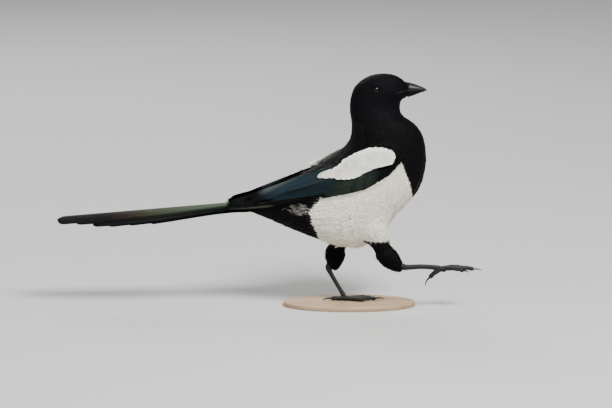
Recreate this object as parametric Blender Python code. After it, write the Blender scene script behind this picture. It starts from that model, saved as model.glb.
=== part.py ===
"""A life-size Eurasian magpie in mid-stride, as closed solids that follow the outline of its plumage.

The bird faces +X, +Z is up, and its right side is towards -Y. It stands on its left foot, on a plain
display base. Lengths are in metres where a constant is multiplied by MM, and otherwise in millimetres.
Heights are measured from the soles until the whole bird is raised onto the base.
"""

from collections import namedtuple
from math import cos, hypot, pi, radians, sin, tan

import bmesh
import bpy
import numpy as np
from mathutils import Matrix
from mathutils.bvhtree import BVHTree

MM = 0.001
GAP = 0.3 * MM  # clearance between neighbouring solids
CENTRE_X = -2.45 * MM  # moves the bounding box onto the origin

# A cross section of the body: the point on its upper outline, the point on its lower outline,
# both as (x, z) in mm, and its half width in mm.
Section = namedtuple("Section", "name top bottom half_width")
BODY = (
    Section("tail_root", (-27.2, 111.2), (-27.2, 99.3), 13),
    Section("vent_rear", (-10.9, 119.5), (-6.5, 90.5), 19),
    Section("vent", (8.7, 128.4), (18.5, 79.8), 26),
    Section("rump", (27.2, 138.6), (43.5, 70.1), 31.5),
    Section("belly_rear", (43.5, 147.7), (68.5, 61.2), 35.5),
    Section("belly", (58.7, 157.3), (95.7, 58.5), 37),
    Section("belly_front", (70.7, 165.0), (118.5, 71.7), 37),
    Section("breast_low", (78.8, 172.2), (137.0, 96.1), 36.5),
    Section("breast", (83.7, 179.9), (152.1, 111.8), 35),
    Section("breast_high", (85.1, 187.7), (162.4, 126.9), 33),
    Section("chest", (85.1, 194.8), (167.9, 147.9), 31),
    Section("chest_top", (84.8, 200.9), (167.9, 166.7), 28.5),
    Section("neck_base", (83.7, 206.4), (164.2, 183.2), 25.5),
    Section("neck", (83.3, 212.5), (154.8, 195.9), 22.5),
    Section("neck_top", (83.7, 219.1), (142.9, 203.7), 20),
    Section("nape", (85.3, 226.9), (139.1, 211.4), 18.6),
    Section("jaw", (88.6, 235.7), (139.6, 218.0), 18),
    Section("crown_rear", (97.9, 244.5), (140.2, 220.7), 17.8),
    Section("crown", (109.9, 249.5), (141.2, 221.8), 17.0),
    Section("crown_front", (122.3, 250.6), (142.6, 222.7), 15.2),
    Section("forehead", (134.8, 248.2), (144.4, 223.6), 12.4),
    Section("bill_root", (143.4, 242.4), (146.6, 224.4), 7.2),
)
NECK_START = 12  # index of the section where the neck is parted from the trunk
HEAD_START = 15  # index of the section where the head is parted from the neck
BODY_SQUARENESS = 2.15  # exponent of the cross sections, where 2 is an ellipse
BODY_SIDES = 20
STEPS_PER_SECTION = 2

# A rib across a folded wing: its upper and lower end as (x, z, distance from the midline) in mm,
# how far its middle bulges outwards, and its thickness there.
Rib = namedtuple("Rib", "upper lower bulge thickness")
WING = (
    Rib((138.5, 170.0, 24.5), (141.0, 161.5, 28.5), 1.0, 1.6),
    Rib((131.6, 174.6, 25.0), (138.4, 155.3, 31.5), 2.5, 3.0),
    Rib((117.6, 176.6, 24.0), (128.1, 145.0, 35.0), 4.0, 4.4),
    Rib((101.4, 172.8, 22.5), (115.2, 135.0, 37.5), 5.0, 5.0),
    Rib((87.3, 166.0, 21.5), (100.0, 128.4, 38.8), 5.0, 5.0),
    Rib((70.7, 156.6, 21.0), (83.7, 124.2, 38.8), 5.0, 5.0),
    Rib((52.2, 148.6, 19.0), (60.9, 119.2, 37.5), 5.0, 4.6),
    Rib((31.5, 140.6, 15.5), (38.0, 115.4, 34.0), 5.0, 4.2),
    Rib((9.8, 129.2, 12.5), (14.1, 112.0, 29.5), 4.5, 3.8),
    Rib((-13.0, 119.2, 10.5), (-10.9, 108.4, 25.0), 3.0, 3.2),
    Rib((-31.5, 114.8, 10.5), (-30.4, 105.2, 21.0), 2.0, 2.4),
    Rib((-47.5, 110.4, 12.0), (-48.6, 104.4, 17.5), 0.8, 1.4),
)
WING_STATIONS = 2  # steps between one rib and the next
WING_POINTS = 7  # points across the outside of a wing
WING_FULLNESS = 0.7  # exponent of the wing's thickness from its edges to its middle
WING_EDGE = 1.0 * MM  # thickness of the wing's upper and lower edges
PLUMAGE_LIFT = 1.4 * MM  # how far the wing stands outside the body
ROOM_END_STEP = 0.5  # part of a rib step by which a wing's clearance stops short, for each mm of it
RAY_START = 200 * MM  # distance from the midline at which the search for the body's side starts

# The closed tail: a roof of stepped feathers.
TAIL_FRONT = -27.8
TAIL_LENGTH = 205.4
TAIL_RIDGE_FRONT = 110.6
TAIL_RIDGE_REAR = 93.2
TAIL_HALF_WIDTH_FRONT = 13.5
TAIL_HALF_WIDTH = 22.0
TAIL_WIDEST = 0.5  # share of the tail's length at which it has opened to its full width
TAIL_SLOPE = radians(30)
TAIL_SLOPE_START = 0.4  # share of the slope at the front
TAIL_SLOPE_GAIN = 1.05  # growth of that share over the tail's length
TAIL_SLOPE_MOST = 1.15
TAIL_THICK_FRONT = 9.5
TAIL_THICK_TIP = 1.3
TAIL_THINNING = 0.6  # exponent with which the tail gets thinner towards its tip
TAIL_EDGE = 0.9  # thickness of the tail's outer edges
TAIL_EDGE_POWER = 4  # exponent with which the tail gets thinner towards its edges
RIDGE_ROUNDING = 3.0
# Where each pair of feathers ends, as a share of the length, and how much narrower the tail gets there.
TAIL_STEPS = ((0.50, 0.9), (0.62, 0.9), (0.73, 1.2), (0.81, 4.0), (0.90, 2.0))
STEP_LENGTH = 0.03
TAIL_STATIONS = 30
TAIL_ACROSS = 4
TIP_ROUNDING = 0.06  # share of the tail's length in which its tip rounds off
TIP_NARROWING = 0.72

# The bill, from its root to its tip, as (x, upper z, lower z, half width) in mm.
BillSection = namedtuple("BillSection", "x upper lower half_width")
UPPER_BILL = (
    BillSection(145.8, 241.6, 232.2, 6.7),
    BillSection(149.4, 240.5, 232.2, 6.1),
    BillSection(154.5, 238.8, 232.3, 5.0),
    BillSection(159.0, 237.2, 232.4, 3.8),
    BillSection(163.0, 235.4, 232.2, 2.6),
    BillSection(166.0, 233.8, 231.7, 1.5),
    BillSection(168.0, 232.2, 231.4, 0.6),
)
LOWER_BILL = (
    BillSection(145.8, 231.9, 224.5, 6.2),
    BillSection(149.4, 231.9, 225.4, 5.6),
    BillSection(154.5, 232.0, 227.2, 4.5),
    BillSection(159.0, 232.1, 228.8, 3.3),
    BillSection(162.8, 231.9, 230.1, 2.1),
    BillSection(165.4, 231.3, 230.6, 0.9),
)
BILL_SIDES = 9
BILL_DOME = 0.9  # exponent of the rise of the bill's sides, where 1 is an ellipse
CUTTING_FACE = 0.45  # width of the flat where the two halves of the bill meet, as a share of their own
GAPE_Z = 232.0
BILL_LEAN = -0.17  # how the bill's root leans back as it rises, in mm for each mm

EYE_RADIUS = 4.7 * MM
EYE_X = 112.8
EYE_Z = 234.1
BALL_BANDS = 8
BALL_SIDES = 12
EYE_OUT = 13.3  # distance of the eye's centre from the midline

# A limb point: x, distance from the midline towards its own side, z, radius along the side view,
# radius across it, all in mm.
LimbPoint = namedtuple("LimbPoint", "x out z radius across")
THIGH_RIGHT = (
    LimbPoint(95.0, 21.0, 102.0, 15.0, 8.0),
    LimbPoint(103.0, 21.0, 92.0, 17.5, 12.0),
    LimbPoint(111.0, 20.5, 80.5, 17.0, 12.5),
    LimbPoint(116.5, 20.0, 70.5, 14.0, 11.0),
    LimbPoint(119.5, 19.5, 63.0, 10.0, 8.5),
)
THIGH_LEFT = (
    LimbPoint(86.0, 21.0, 99.0, 15.0, 8.0),
    LimbPoint(83.5, 21.0, 88.0, 17.5, 12.0),
    LimbPoint(79.0, 20.0, 76.0, 16.5, 12.5),
    LimbPoint(74.5, 18.0, 65.0, 13.0, 10.5),
    LimbPoint(71.5, 16.0, 58.5, 9.5, 8.0),
)
SHANK_RIGHT = (
    LimbPoint(118.5, 19.5, 66.0, 8.2, 7.2),
    LimbPoint(121.5, 19.0, 58.0, 9.0, 7.2),
    LimbPoint(126.8, 18.4, 51.0, 9.2, 6.4),
    LimbPoint(132.3, 17.8, 45.0, 7.6, 5.2),
    LimbPoint(136.8, 17.3, 40.4, 4.6, 3.6),
    LimbPoint(139.2, 17.1, 37.6, 2.0, 1.8),
)
SHANK_LEFT = (
    LimbPoint(72.0, 16.3, 61.0, 8.6, 7.4),
    LimbPoint(70.0, 14.8, 53.0, 9.6, 7.2),
    LimbPoint(68.4, 13.2, 45.0, 9.2, 6.4),
    LimbPoint(68.4, 12.2, 39.5, 7.0, 5.2),
    LimbPoint(69.2, 11.6, 35.6, 4.2, 3.6),
    LimbPoint(69.8, 11.3, 33.2, 2.0, 1.8),
)
TARSUS_RIGHT = (
    LimbPoint(139.4, 17.1, 42.2, 2.4, 2.3),
    LimbPoint(142.6, 17.1, 40.8, 3.0, 2.5),
    LimbPoint(147.0, 16.9, 40.2, 2.3, 1.9),
    LimbPoint(160.0, 16.6, 41.0, 2.0, 1.7),
    LimbPoint(173.0, 16.3, 40.4, 2.0, 1.7),
    LimbPoint(182.0, 16.1, 39.0, 2.5, 2.3),
)
TARSUS_LEFT = (
    LimbPoint(62.6, 11.4, 39.4, 2.4, 2.3),
    LimbPoint(61.2, 10.9, 35.0, 3.0, 2.5),
    LimbPoint(63.4, 9.8, 29.6, 2.3, 1.9),
    LimbPoint(68.8, 7.4, 20.4, 2.0, 1.7),
    LimbPoint(74.2, 5.1, 11.4, 2.0, 1.7),
    LimbPoint(78.2, 3.6, 5.2, 2.5, 2.3),
)
LIMB_STEPS = 2
LIMB_SIDES = 10
TARSUS_SIDES = 9

# Toes: spread from straight ahead in degrees, length, root radius, tip radius and claw length.
Toe = namedtuple("Toe", "name spread length root tip claw")
TOES = (
    Toe("inner", 24, 21.0, 2.0, 1.5, 8.0),
    Toe("middle", 0, 32.5, 2.1, 1.5, 10.0),
    Toe("outer", -23, 23.0, 2.0, 1.5, 8.0),
    Toe("hind", 180, 15.0, 2.3, 1.7, 11.0),
)
TOE_JOINTS = 3
HIND_TOE_JOINTS = 2
TOE_ARCH = 0.6  # height in mm by which each joint of a toe stands above its pads
TOE_SWELL = 0.10  # share by which a toe is thicker at its joints
LIFTED_TOE_RISE = 1.2
LIFTED_HIND_DROP = 9.0
LIFTED_HIND_DROP_POWER = 1.6
LIFTED_HIND_REACH = 0.92  # share of its length that the drooping hind toe reaches back
TOE_STEPS = 7
TOE_SIDES = 7
# The angle in degrees through which a claw curves, and by which it starts above its toe.
CLAW_TURN_HIND = 62
CLAW_TURN_STANDING = 54
CLAW_TURN_LIFTED = 34
CLAW_RAISE_STANDING = 26
CLAW_RAISE_LIFTED = 16
CLAW_ROOT = 0.74  # root radius as a share of the toe's tip radius
CLAW_TAPER = 0.75
CLAW_STEPS = 5
CLAW_SIDES = 6
CLAW_TIP_RADIUS = 0.27
# The pad where the toes meet: x and z from its middle, and radius, all in mm.
PadPoint = namedtuple("PadPoint", "x z radius")
PAD = (
    PadPoint(-2.2, 1.2, 1.5),
    PadPoint(-1.2, 0.7, 2.5),
    PadPoint(0.6, 0.2, 2.9),
    PadPoint(2.2, 0.1, 2.7),
    PadPoint(3.4, 0.1, 1.4),
)
PAD_SIDES = 9
STANDING_PAD = (80.0, 2.6, 1.75)
LIFTED_PAD = (185.6, -16.0, 38.2)
Leg = namedtuple("Leg", "thigh shank tarsus pad lifted")
RIGHT_LEG = Leg(THIGH_RIGHT, SHANK_RIGHT, TARSUS_RIGHT, LIFTED_PAD, True)
LEFT_LEG = Leg(THIGH_LEFT, SHANK_LEFT, TARSUS_LEFT, STANDING_PAD, False)
SOLE_DEPTH = 20 * MM
SOLE_REACH = 90 * MM

# The oval display base that the left foot stands on.
BASE_MIDDLE_X = 84.0
BASE_HALF_LENGTH = 72.0
BASE_HALF_WIDTH = 37.5
BASE_HEIGHT = 5.0
BASE_ROUNDING = 1.5  # radius of its upper edge
BASE_CHAMFER = 0.6  # width of the chamfer round its lower edge
BASE_SIDES = 36
BASE_BANDS = 2

# For each material its base colour, roughness and metallic share.
COLOURS = {
    "black_feather": ((0.012, 0.012, 0.014, 1), 0.55, 0.0),
    "white_feather": ((0.78, 0.77, 0.73, 1), 0.8, 0.0),
    "wing_feather": ((0.016, 0.05, 0.09, 1), 0.35, 0.2),
    "tail_feather": ((0.012, 0.06, 0.045, 1), 0.35, 0.2),
    "bill_horn": ((0.012, 0.012, 0.013, 1), 0.3, 0.0),
    "leg_scale": ((0.02, 0.019, 0.018, 1), 0.45, 0.0),
    "eye": ((0.012, 0.006, 0.004, 1), 0.05, 0.0),
    "base_wood": ((0.42, 0.27, 0.15, 1), 0.45, 0.0),
}


def clear_scene():
    for obj in list(bpy.data.objects):
        bpy.data.objects.remove(obj, do_unlink=True)


def material(name):
    found = bpy.data.materials.get(name)
    if found:
        return found
    made = bpy.data.materials.new(name)
    made.use_nodes = True
    colour, roughness, metallic = COLOURS[name]
    shader = made.node_tree.nodes["Principled BSDF"]
    shader.inputs["Base Color"].default_value = colour
    shader.inputs["Roughness"].default_value = roughness
    shader.inputs["Metallic"].default_value = metallic
    made.diffuse_color = colour
    return made


def curve_through(values, steps):
    """Catmull-Rom points through the rows of values, with this many steps from row to row."""
    rows = np.asarray(values, float)
    padded = np.vstack([2 * rows[0] - rows[1], rows, 2 * rows[-1] - rows[-2]])
    points = []
    for start in range(len(rows) - 1):
        before, first, second, after = padded[start : start + 4]
        for step in range(steps):
            t = step / steps
            points.append(
                0.5
                * (
                    2 * first
                    + (second - before) * t
                    + (2 * before - 5 * first + 4 * second - after) * t**2
                    + (3 * first - before - 3 * second + after) * t**3
                )
            )
    points.append(rows[-1])
    return np.array(points)


def add_solid(name, rings, colour, smooth=True, helper=False):
    """A closed mesh over rings of points in metres, with a fan over each end."""
    mesh = bmesh.new()
    rows = [[mesh.verts.new(point) for point in ring] for ring in rings]
    count = len(rings[0])
    for lower, upper in zip(rows, rows[1:]):
        for i in range(count):
            j = (i + 1) % count
            mesh.faces.new((lower[i], lower[j], upper[j], upper[i]))
    for row, ring in ((rows[0], rings[0]), (rows[-1], rings[-1])):
        centre = mesh.verts.new(np.mean(ring, axis=0))
        for i in range(count):
            mesh.faces.new((row[i], row[(i + 1) % count], centre))
    bmesh.ops.triangulate(mesh, faces=mesh.faces)
    bmesh.ops.recalc_face_normals(mesh, faces=mesh.faces)
    if mesh.calc_volume(signed=True) < 0:
        bmesh.ops.reverse_faces(mesh, faces=mesh.faces)
    data = bpy.data.meshes.new(name)
    mesh.to_mesh(data)
    mesh.free()
    data.materials.append(material(colour))
    if smooth:
        data.polygons.foreach_set("use_smooth", [True] * len(data.polygons))
    obj = bpy.data.objects.new(name, data)
    bpy.context.scene.collection.objects.link(obj)
    if helper:
        obj.hide_render = True
        obj.display_type = "WIRE"
    return obj


def combine(obj, other, operation):
    modifier = obj.modifiers.new(f"{operation.lower()}_{other.name}", "BOOLEAN")
    modifier.operation = operation
    modifier.solver = "EXACT"
    modifier.object = other


def cut(obj, cutter):
    combine(obj, cutter, "DIFFERENCE")


def body_rings():
    """One planar ring for each step along the body, from the root of the tail to the root of the bill."""
    rows = curve_through(
        [(*s.top, *s.bottom, s.half_width) for s in BODY], STEPS_PER_SECTION
    )
    rings = []
    for top_x, top_z, low_x, low_z, half_width in rows * MM:
        top = np.array((top_x, 0.0, top_z))
        low = np.array((low_x, 0.0, low_z))
        middle = (top + low) / 2
        rise = (top - low) / 2
        ring = []
        for side in range(BODY_SIDES):
            angle = 2 * pi * (side + 0.5) / BODY_SIDES
            power = 2 / BODY_SQUARENESS
            across = np.sign(sin(angle)) * abs(sin(angle)) ** power
            up = np.sign(cos(angle)) * abs(cos(angle)) ** power
            ring.append(middle + up * rise + np.array((0.0, across * half_width, 0.0)))
        rings.append(np.array(ring) - (CENTRE_X, 0.0, 0.0))
    return rings


def part_of_body(rings, first, last):
    """The rings between two sections, with the end rings drawn back by half the gap."""
    start, end = first * STEPS_PER_SECTION, last * STEPS_PER_SECTION
    chosen = [ring.copy() for ring in rings[start : end + 1]]
    for index, neighbour in ((0, 1), (-1, -2)):
        ring = chosen[index]
        normal = np.cross(ring[BODY_SIDES // 4] - ring[0], ring[BODY_SIDES // 2] - ring[0])
        normal /= np.linalg.norm(normal)
        inwards = chosen[neighbour].mean(axis=0) - ring.mean(axis=0)
        chosen[index] = ring + normal * np.sign(normal @ inwards) * GAP / 2
    return chosen


def wing_rings(surface, side, grow):
    """Rings round a folded wing, which lies just outside the body's surface."""
    rows = curve_through(
        [(*rib.upper, *rib.lower, rib.bulge, rib.thickness) for rib in WING], WING_STATIONS
    )
    if grow:
        rows = np.vstack([2 * rows[0] - rows[1], rows, 2 * rows[-1] - rows[-2]])
        pull_back = 1 - ROOM_END_STEP * grow / MM
        rows[0, :6] += (rows[1, :6] - rows[0, :6]) * pull_back
        rows[-1, :6] += (rows[-2, :6] - rows[-1, :6]) * pull_back
    rings = []
    for row in rows * MM:
        upper, lower, bulge, thickness = row[:3], row[3:6], row[6], row[7]
        along = (upper - lower) / np.linalg.norm(upper - lower)
        outer, inner = [], []
        for step in range(WING_POINTS):
            share = step / (WING_POINTS - 1)
            x, z, out = upper + (lower - upper) * share
            crown = sin(pi * share)
            out += bulge * crown
            hit = surface.ray_cast(
                (x - CENTRE_X, side * RAY_START, z), (0.0, -side, 0.0), RAY_START
            )[0]
            if hit is not None:
                out = max(out, abs(hit[1]) + PLUMAGE_LIFT)
            depth = WING_EDGE + (thickness - WING_EDGE) * crown**WING_FULLNESS
            shift = along * grow * (1 - 2 * share)
            place = np.array((x - CENTRE_X, 0.0, z)) + (shift[0], 0.0, shift[1])
            outer.append(place + (0.0, side * (out + grow), 0.0))
            inner.append(place + (0.0, side * (out - depth - grow), 0.0))
        rings.append(np.array(outer + inner[::-1]))
    return rings


def eased(share):
    """A smooth rise from 0 to 1."""
    share = min(max(share, 0.0), 1.0)
    return share * share * (3 - 2 * share)


def tail_rings():
    """Rings along the closed tail, whose outline narrows where each pair of feathers ends."""
    rings = []
    for station in range(TAIL_STATIONS + 1):
        share = station / TAIL_STATIONS
        x = TAIL_FRONT - TAIL_LENGTH * share
        ridge = TAIL_RIDGE_FRONT + (TAIL_RIDGE_REAR - TAIL_RIDGE_FRONT) * share
        opening = eased(share / TAIL_WIDEST)
        width = TAIL_HALF_WIDTH_FRONT + (TAIL_HALF_WIDTH - TAIL_HALF_WIDTH_FRONT) * opening
        for end, step in TAIL_STEPS:
            width -= step * eased((share - end + STEP_LENGTH / 2) / STEP_LENGTH)
        if share > 1 - TIP_ROUNDING:
            left = (1 - share) / TIP_ROUNDING
            width *= (1 - (1 - left) ** 2 * TIP_NARROWING) ** 0.5
        thick = TAIL_THICK_FRONT + (TAIL_THICK_TIP - TAIL_THICK_FRONT) * share**TAIL_THINNING
        slope = tan(TAIL_SLOPE) * min(TAIL_SLOPE_START + share * TAIL_SLOPE_GAIN, TAIL_SLOPE_MOST)
        upper, lower = [], []
        for step in range(2 * TAIL_ACROSS + 1):
            across = step / TAIL_ACROSS - 1
            out = across * width
            drop = hypot(out, RIDGE_ROUNDING) - RIDGE_ROUNDING
            height = ridge - drop * slope
            depth = TAIL_EDGE + (thick - TAIL_EDGE) * (1 - across**TAIL_EDGE_POWER)
            upper.append((x * MM - CENTRE_X, out * MM, height * MM))
            lower.append((x * MM - CENTRE_X, out * MM, (height - depth) * MM))
        rings.append(np.array(upper + lower[::-1]))
    return rings


def limb_rings(points, side, sides, steps, grow=0.0):
    """Rings round a limb; each is an ellipse across the limb's own direction."""
    rows = curve_through([tuple(point) for point in points], steps) * MM
    centres = np.stack([rows[:, 0] - CENTRE_X, side * rows[:, 1], rows[:, 2]], axis=1)
    directions = np.gradient(centres, axis=0)
    directions /= np.linalg.norm(directions, axis=1)[:, None]
    if grow:
        centres[0] -= directions[0] * grow
        centres[-1] += directions[-1] * grow
    rings = []
    for centre, along, row in zip(centres, directions, rows):
        across = np.array((0.0, 1.0, 0.0)) - along * along[1]
        across /= np.linalg.norm(across)
        ahead = np.cross(across, along)
        ring = []
        for step in range(sides):
            angle = 2 * pi * step / sides
            ring.append(
                centre
                + ahead * cos(angle) * (row[3] + grow)
                + across * sin(angle) * (row[4] + grow)
            )
        rings.append(np.array(ring))
    return rings


def mandible_rings(sections, upwards):
    """Rings along one half of the bill: a dome over, or under, a flat cutting face."""
    rings = []
    rows = curve_through([tuple(section) for section in sections], 2) * MM
    for index, (x, upper, lower, half_width) in enumerate(rows):
        base, crest = (lower, upper) if upwards else (upper, lower)
        outline = []
        for step in range(BILL_SIDES + 1):
            angle = pi * step / BILL_SIDES
            rise = (crest - base) * sin(angle) ** BILL_DOME
            outline.append((half_width * cos(angle), base + rise))
        outline.append((-half_width * CUTTING_FACE, base))
        outline.append((half_width * CUTTING_FACE, base))
        lean = BILL_LEAN * (1 - index / (len(rows) - 1))
        ring = [(x - CENTRE_X + lean * (z - GAPE_Z * MM), out, z) for out, z in outline]
        rings.append(np.array(ring))
    return rings


def ball(name, centre, radius, colour, helper=False):
    rings = []
    for step in range(1, BALL_BANDS):
        angle = pi * step / BALL_BANDS
        ring_radius = radius * sin(angle)
        rings.append(
            np.array(
                [
                    (
                        centre[0] + ring_radius * cos(2 * pi * i / BALL_SIDES),
                        centre[1] + radius * cos(angle),
                        centre[2] + ring_radius * sin(2 * pi * i / BALL_SIDES),
                    )
                    for i in range(BALL_SIDES)
                ]
            )
        )
    return add_solid(name, rings, colour, helper=helper)


def toe_path(toe, side, lifted):
    """A toe's centreline and radii, about the pad at the origin."""
    spread = radians(toe.spread * -side)
    hind = toe.name == "hind"
    joints = HIND_TOE_JOINTS if hind else TOE_JOINTS
    flat = np.array((cos(spread), sin(spread), 0.0))
    path, radii = [], []
    for step in range(TOE_STEPS + 1):
        share = step / TOE_STEPS
        height = TOE_ARCH * abs(sin(pi * joints * share))
        reach = toe.length * share
        if lifted and hind:
            height -= LIFTED_HIND_DROP * share**LIFTED_HIND_DROP_POWER
            reach *= LIFTED_HIND_REACH
        elif lifted:
            height += LIFTED_TOE_RISE * sin(pi * share)
        path.append(flat * reach + (0.0, 0.0, height))
        swell = 1 + TOE_SWELL * abs(cos(pi * joints * share))
        radii.append((toe.root + (toe.tip - toe.root) * share) * swell)
    return np.array(path), np.array(radii)


def claw_path(toe, toe_line, lifted):
    """The centreline and radii of the claw at the end of a toe."""
    hind = toe.name == "hind"
    heading = toe_line[-1] - toe_line[-3]
    heading /= np.linalg.norm(heading)
    droop = np.array((0.0, 0.0, -1.0)) - heading * -heading[2]
    droop /= np.linalg.norm(droop)
    turn = radians(CLAW_TURN_HIND if hind else CLAW_TURN_LIFTED if lifted else CLAW_TURN_STANDING)
    reach = toe.claw / (2 * sin(turn / 2)) if lifted else toe.claw / turn
    lift = radians(CLAW_RAISE_LIFTED if lifted else CLAW_RAISE_STANDING)
    raised = heading * cos(lift) - droop * sin(lift)
    lowered = heading * sin(lift) + droop * cos(lift)
    path, radii = [], []
    for step in range(CLAW_STEPS + 1):
        share = step / CLAW_STEPS
        angle = turn * share
        place = raised * sin(angle) * reach + lowered * (1 - cos(angle)) * reach
        path.append(toe_line[-1] + heading * GAP / MM + place)
        radii.append(toe.tip * CLAW_ROOT * (1 - share) ** CLAW_TAPER + CLAW_TIP_RADIUS * share)
    return np.array(path), np.array(radii)


def tube_rings(path, radii, sides, origin):
    """Round rings in metres along a path in mm from the origin."""
    placed = path + origin
    rings = []
    for centre, along, radius in zip(placed, np.gradient(placed, axis=0), radii):
        along = along / np.linalg.norm(along)
        across = np.cross(along, (0.0, 0.0, 1.0))
        across /= np.linalg.norm(across)
        above = np.cross(across, along)
        ring = []
        for side in range(sides):
            angle = 2 * pi * side / sides
            ring.append(centre + radius * (across * cos(angle) + above * sin(angle)))
        rings.append(np.array(ring) * MM - (CENTRE_X, 0.0, 0.0))
    return rings


def build_foot(word, side, pad, lifted):
    """The foot and its four claws. A standing foot is cut flat where it meets the base."""
    path = np.array([(point.x, 0.0, point.z) for point in PAD])
    pad_rings = tube_rings(path, [point.radius for point in PAD], PAD_SIDES, pad)
    foot = add_solid(f"foot_{word}", pad_rings, "leg_scale")
    for toe in TOES:
        path, radii = toe_path(toe, side, lifted)
        toe_rings = tube_rings(path, radii, TOE_SIDES, pad)
        toe_solid = add_solid(f"toe_{toe.name}_{word}", toe_rings, "leg_scale", helper=True)
        combine(foot, toe_solid, "UNION")
        claw_rings = tube_rings(*claw_path(toe, path, lifted), CLAW_SIDES, pad)
        claw = add_solid(f"claw_{toe.name}_{word}", claw_rings, "bill_horn")
        room = tube_rings(path, radii + GAP / MM, TOE_SIDES, pad)
        cut(claw, add_solid(f"toe_{toe.name}_{word}_room", room, "leg_scale", helper=True))
        if not lifted:
            cut(claw, bpy.data.objects["under_soles"])
    if not lifted:
        cut(foot, bpy.data.objects["under_soles"])
    return foot


def under_soles():
    """A slab below the soles that gives the standing foot its flats."""
    centre = np.array((STANDING_PAD[0] * MM - CENTRE_X, 0.0, 0.0))
    corners = np.array(((-1, -1), (1, -1), (1, 1), (-1, 1))) * SOLE_REACH
    rings = [
        np.array([centre + (x, y, height) for x, y in corners])
        for height in (-SOLE_DEPTH, 0.0)
    ]
    return add_solid("under_soles", rings, "leg_scale", smooth=False, helper=True)


def build_base():
    """The oval display base, with a chamfered foot and a rounded upper edge."""
    levels = [(BASE_CHAMFER, 0.0), (0.0, BASE_CHAMFER)]
    for band in range(BASE_BANDS + 1):
        angle = pi / 2 * band / BASE_BANDS
        inset = BASE_ROUNDING * (1 - cos(angle))
        levels.append((inset, BASE_HEIGHT - BASE_ROUNDING * (1 - sin(angle))))
    rings = []
    for inset, height in levels:
        ring = []
        for step in range(BASE_SIDES):
            angle = 2 * pi * step / BASE_SIDES
            x = BASE_MIDDLE_X + (BASE_HALF_LENGTH - inset) * cos(angle)
            ring.append((x, (BASE_HALF_WIDTH - inset) * sin(angle), height))
        rings.append(np.array(ring) * MM - (CENTRE_X, 0.0, 0.0))
    add_solid("stand_base", rings, "base_wood", smooth=False)


def build_limb(name, side, points, colour, sides):
    """A limb segment, and the room round it that its neighbours are cut by."""
    limb = add_solid(name, limb_rings(points, side, sides, LIMB_STEPS), colour)
    room = limb_rings(points, side, sides, LIMB_STEPS, GAP)
    return limb, add_solid(f"{name}_room", room, colour, helper=True)


def build_leg(word, side, leg):
    """One leg, which its neighbours leave room for."""
    trunk = bpy.data.objects["trunk"]
    thigh, thigh_room = build_limb(f"thigh_{word}", side, leg.thigh, "white_feather", LIMB_SIDES)
    shank, shank_room = build_limb(f"shank_{word}", side, leg.shank, "black_feather", LIMB_SIDES)
    tarsus_room = build_limb(f"tarsus_{word}", side, leg.tarsus, "leg_scale", TARSUS_SIDES)[1]
    foot = build_foot(word, side, np.array(leg.pad), leg.lifted)
    cut(trunk, thigh_room)
    cut(trunk, shank_room)
    cut(thigh, shank_room)
    cut(shank, tarsus_room)
    cut(foot, tarsus_room)


def build_side(word, side, surface):
    """The wing and eye of one side."""
    wing = wing_rings(surface, side, 0.0)
    add_solid(f"wing_{word}", wing, "wing_feather")
    wider = wing_rings(surface, side, GAP)
    room = add_solid(f"wing_{word}_room", wider, "wing_feather", helper=True)
    cut(bpy.data.objects["trunk"], room)
    cut(bpy.data.objects["tail"], room)
    centre = (EYE_X * MM - CENTRE_X, side * EYE_OUT * MM, EYE_Z * MM)
    ball(f"eye_{word}", centre, EYE_RADIUS, "eye")
    socket = ball(f"eye_{word}_socket", centre, EYE_RADIUS + GAP, "eye", helper=True)
    cut(bpy.data.objects["head"], socket)


def raise_onto_base():
    """Moves the bird from its soles at height 0 to just above the base."""
    lift = Matrix.Translation((0.0, 0.0, BASE_HEIGHT * MM + GAP))
    for obj in bpy.data.objects:
        obj.data.transform(lift)


def build_bird():
    rings = body_rings()
    whole = add_solid("body_guide", rings, "black_feather", helper=True)
    bpy.context.view_layer.update()
    surface = BVHTree.FromObject(whole, bpy.context.evaluated_depsgraph_get())
    add_solid("trunk", part_of_body(rings, 0, NECK_START), "white_feather")
    add_solid("neck", part_of_body(rings, NECK_START, HEAD_START), "black_feather")
    add_solid("head", part_of_body(rings, HEAD_START, len(BODY) - 1), "black_feather")
    add_solid("tail", tail_rings(), "tail_feather")
    add_solid("bill_upper", mandible_rings(UPPER_BILL, True), "bill_horn")
    add_solid("bill_lower", mandible_rings(LOWER_BILL, False), "bill_horn")
    under_soles()
    for word, side, leg in (("right", -1, RIGHT_LEG), ("left", 1, LEFT_LEG)):
        build_side(word, side, surface)
        build_leg(word, side, leg)
    raise_onto_base()


clear_scene()
build_bird()
build_base()
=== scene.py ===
"""The visual model of a standing magpie: skin, plumage, flight feathers, bill, eyes, legs and base.

Shapes are worked out in millimetres in the bird's own frame: x towards the bill, y to its left and z up
from its soles. They are moved into the frame of the solids, in metres, when each piece is made.
"""

from collections import namedtuple
from math import cos, pi, radians, sin, tan

import bpy
import numpy as np
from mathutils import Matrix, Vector
from mathutils.bvhtree import BVHTree
from mathutils.kdtree import KDTree


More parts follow.
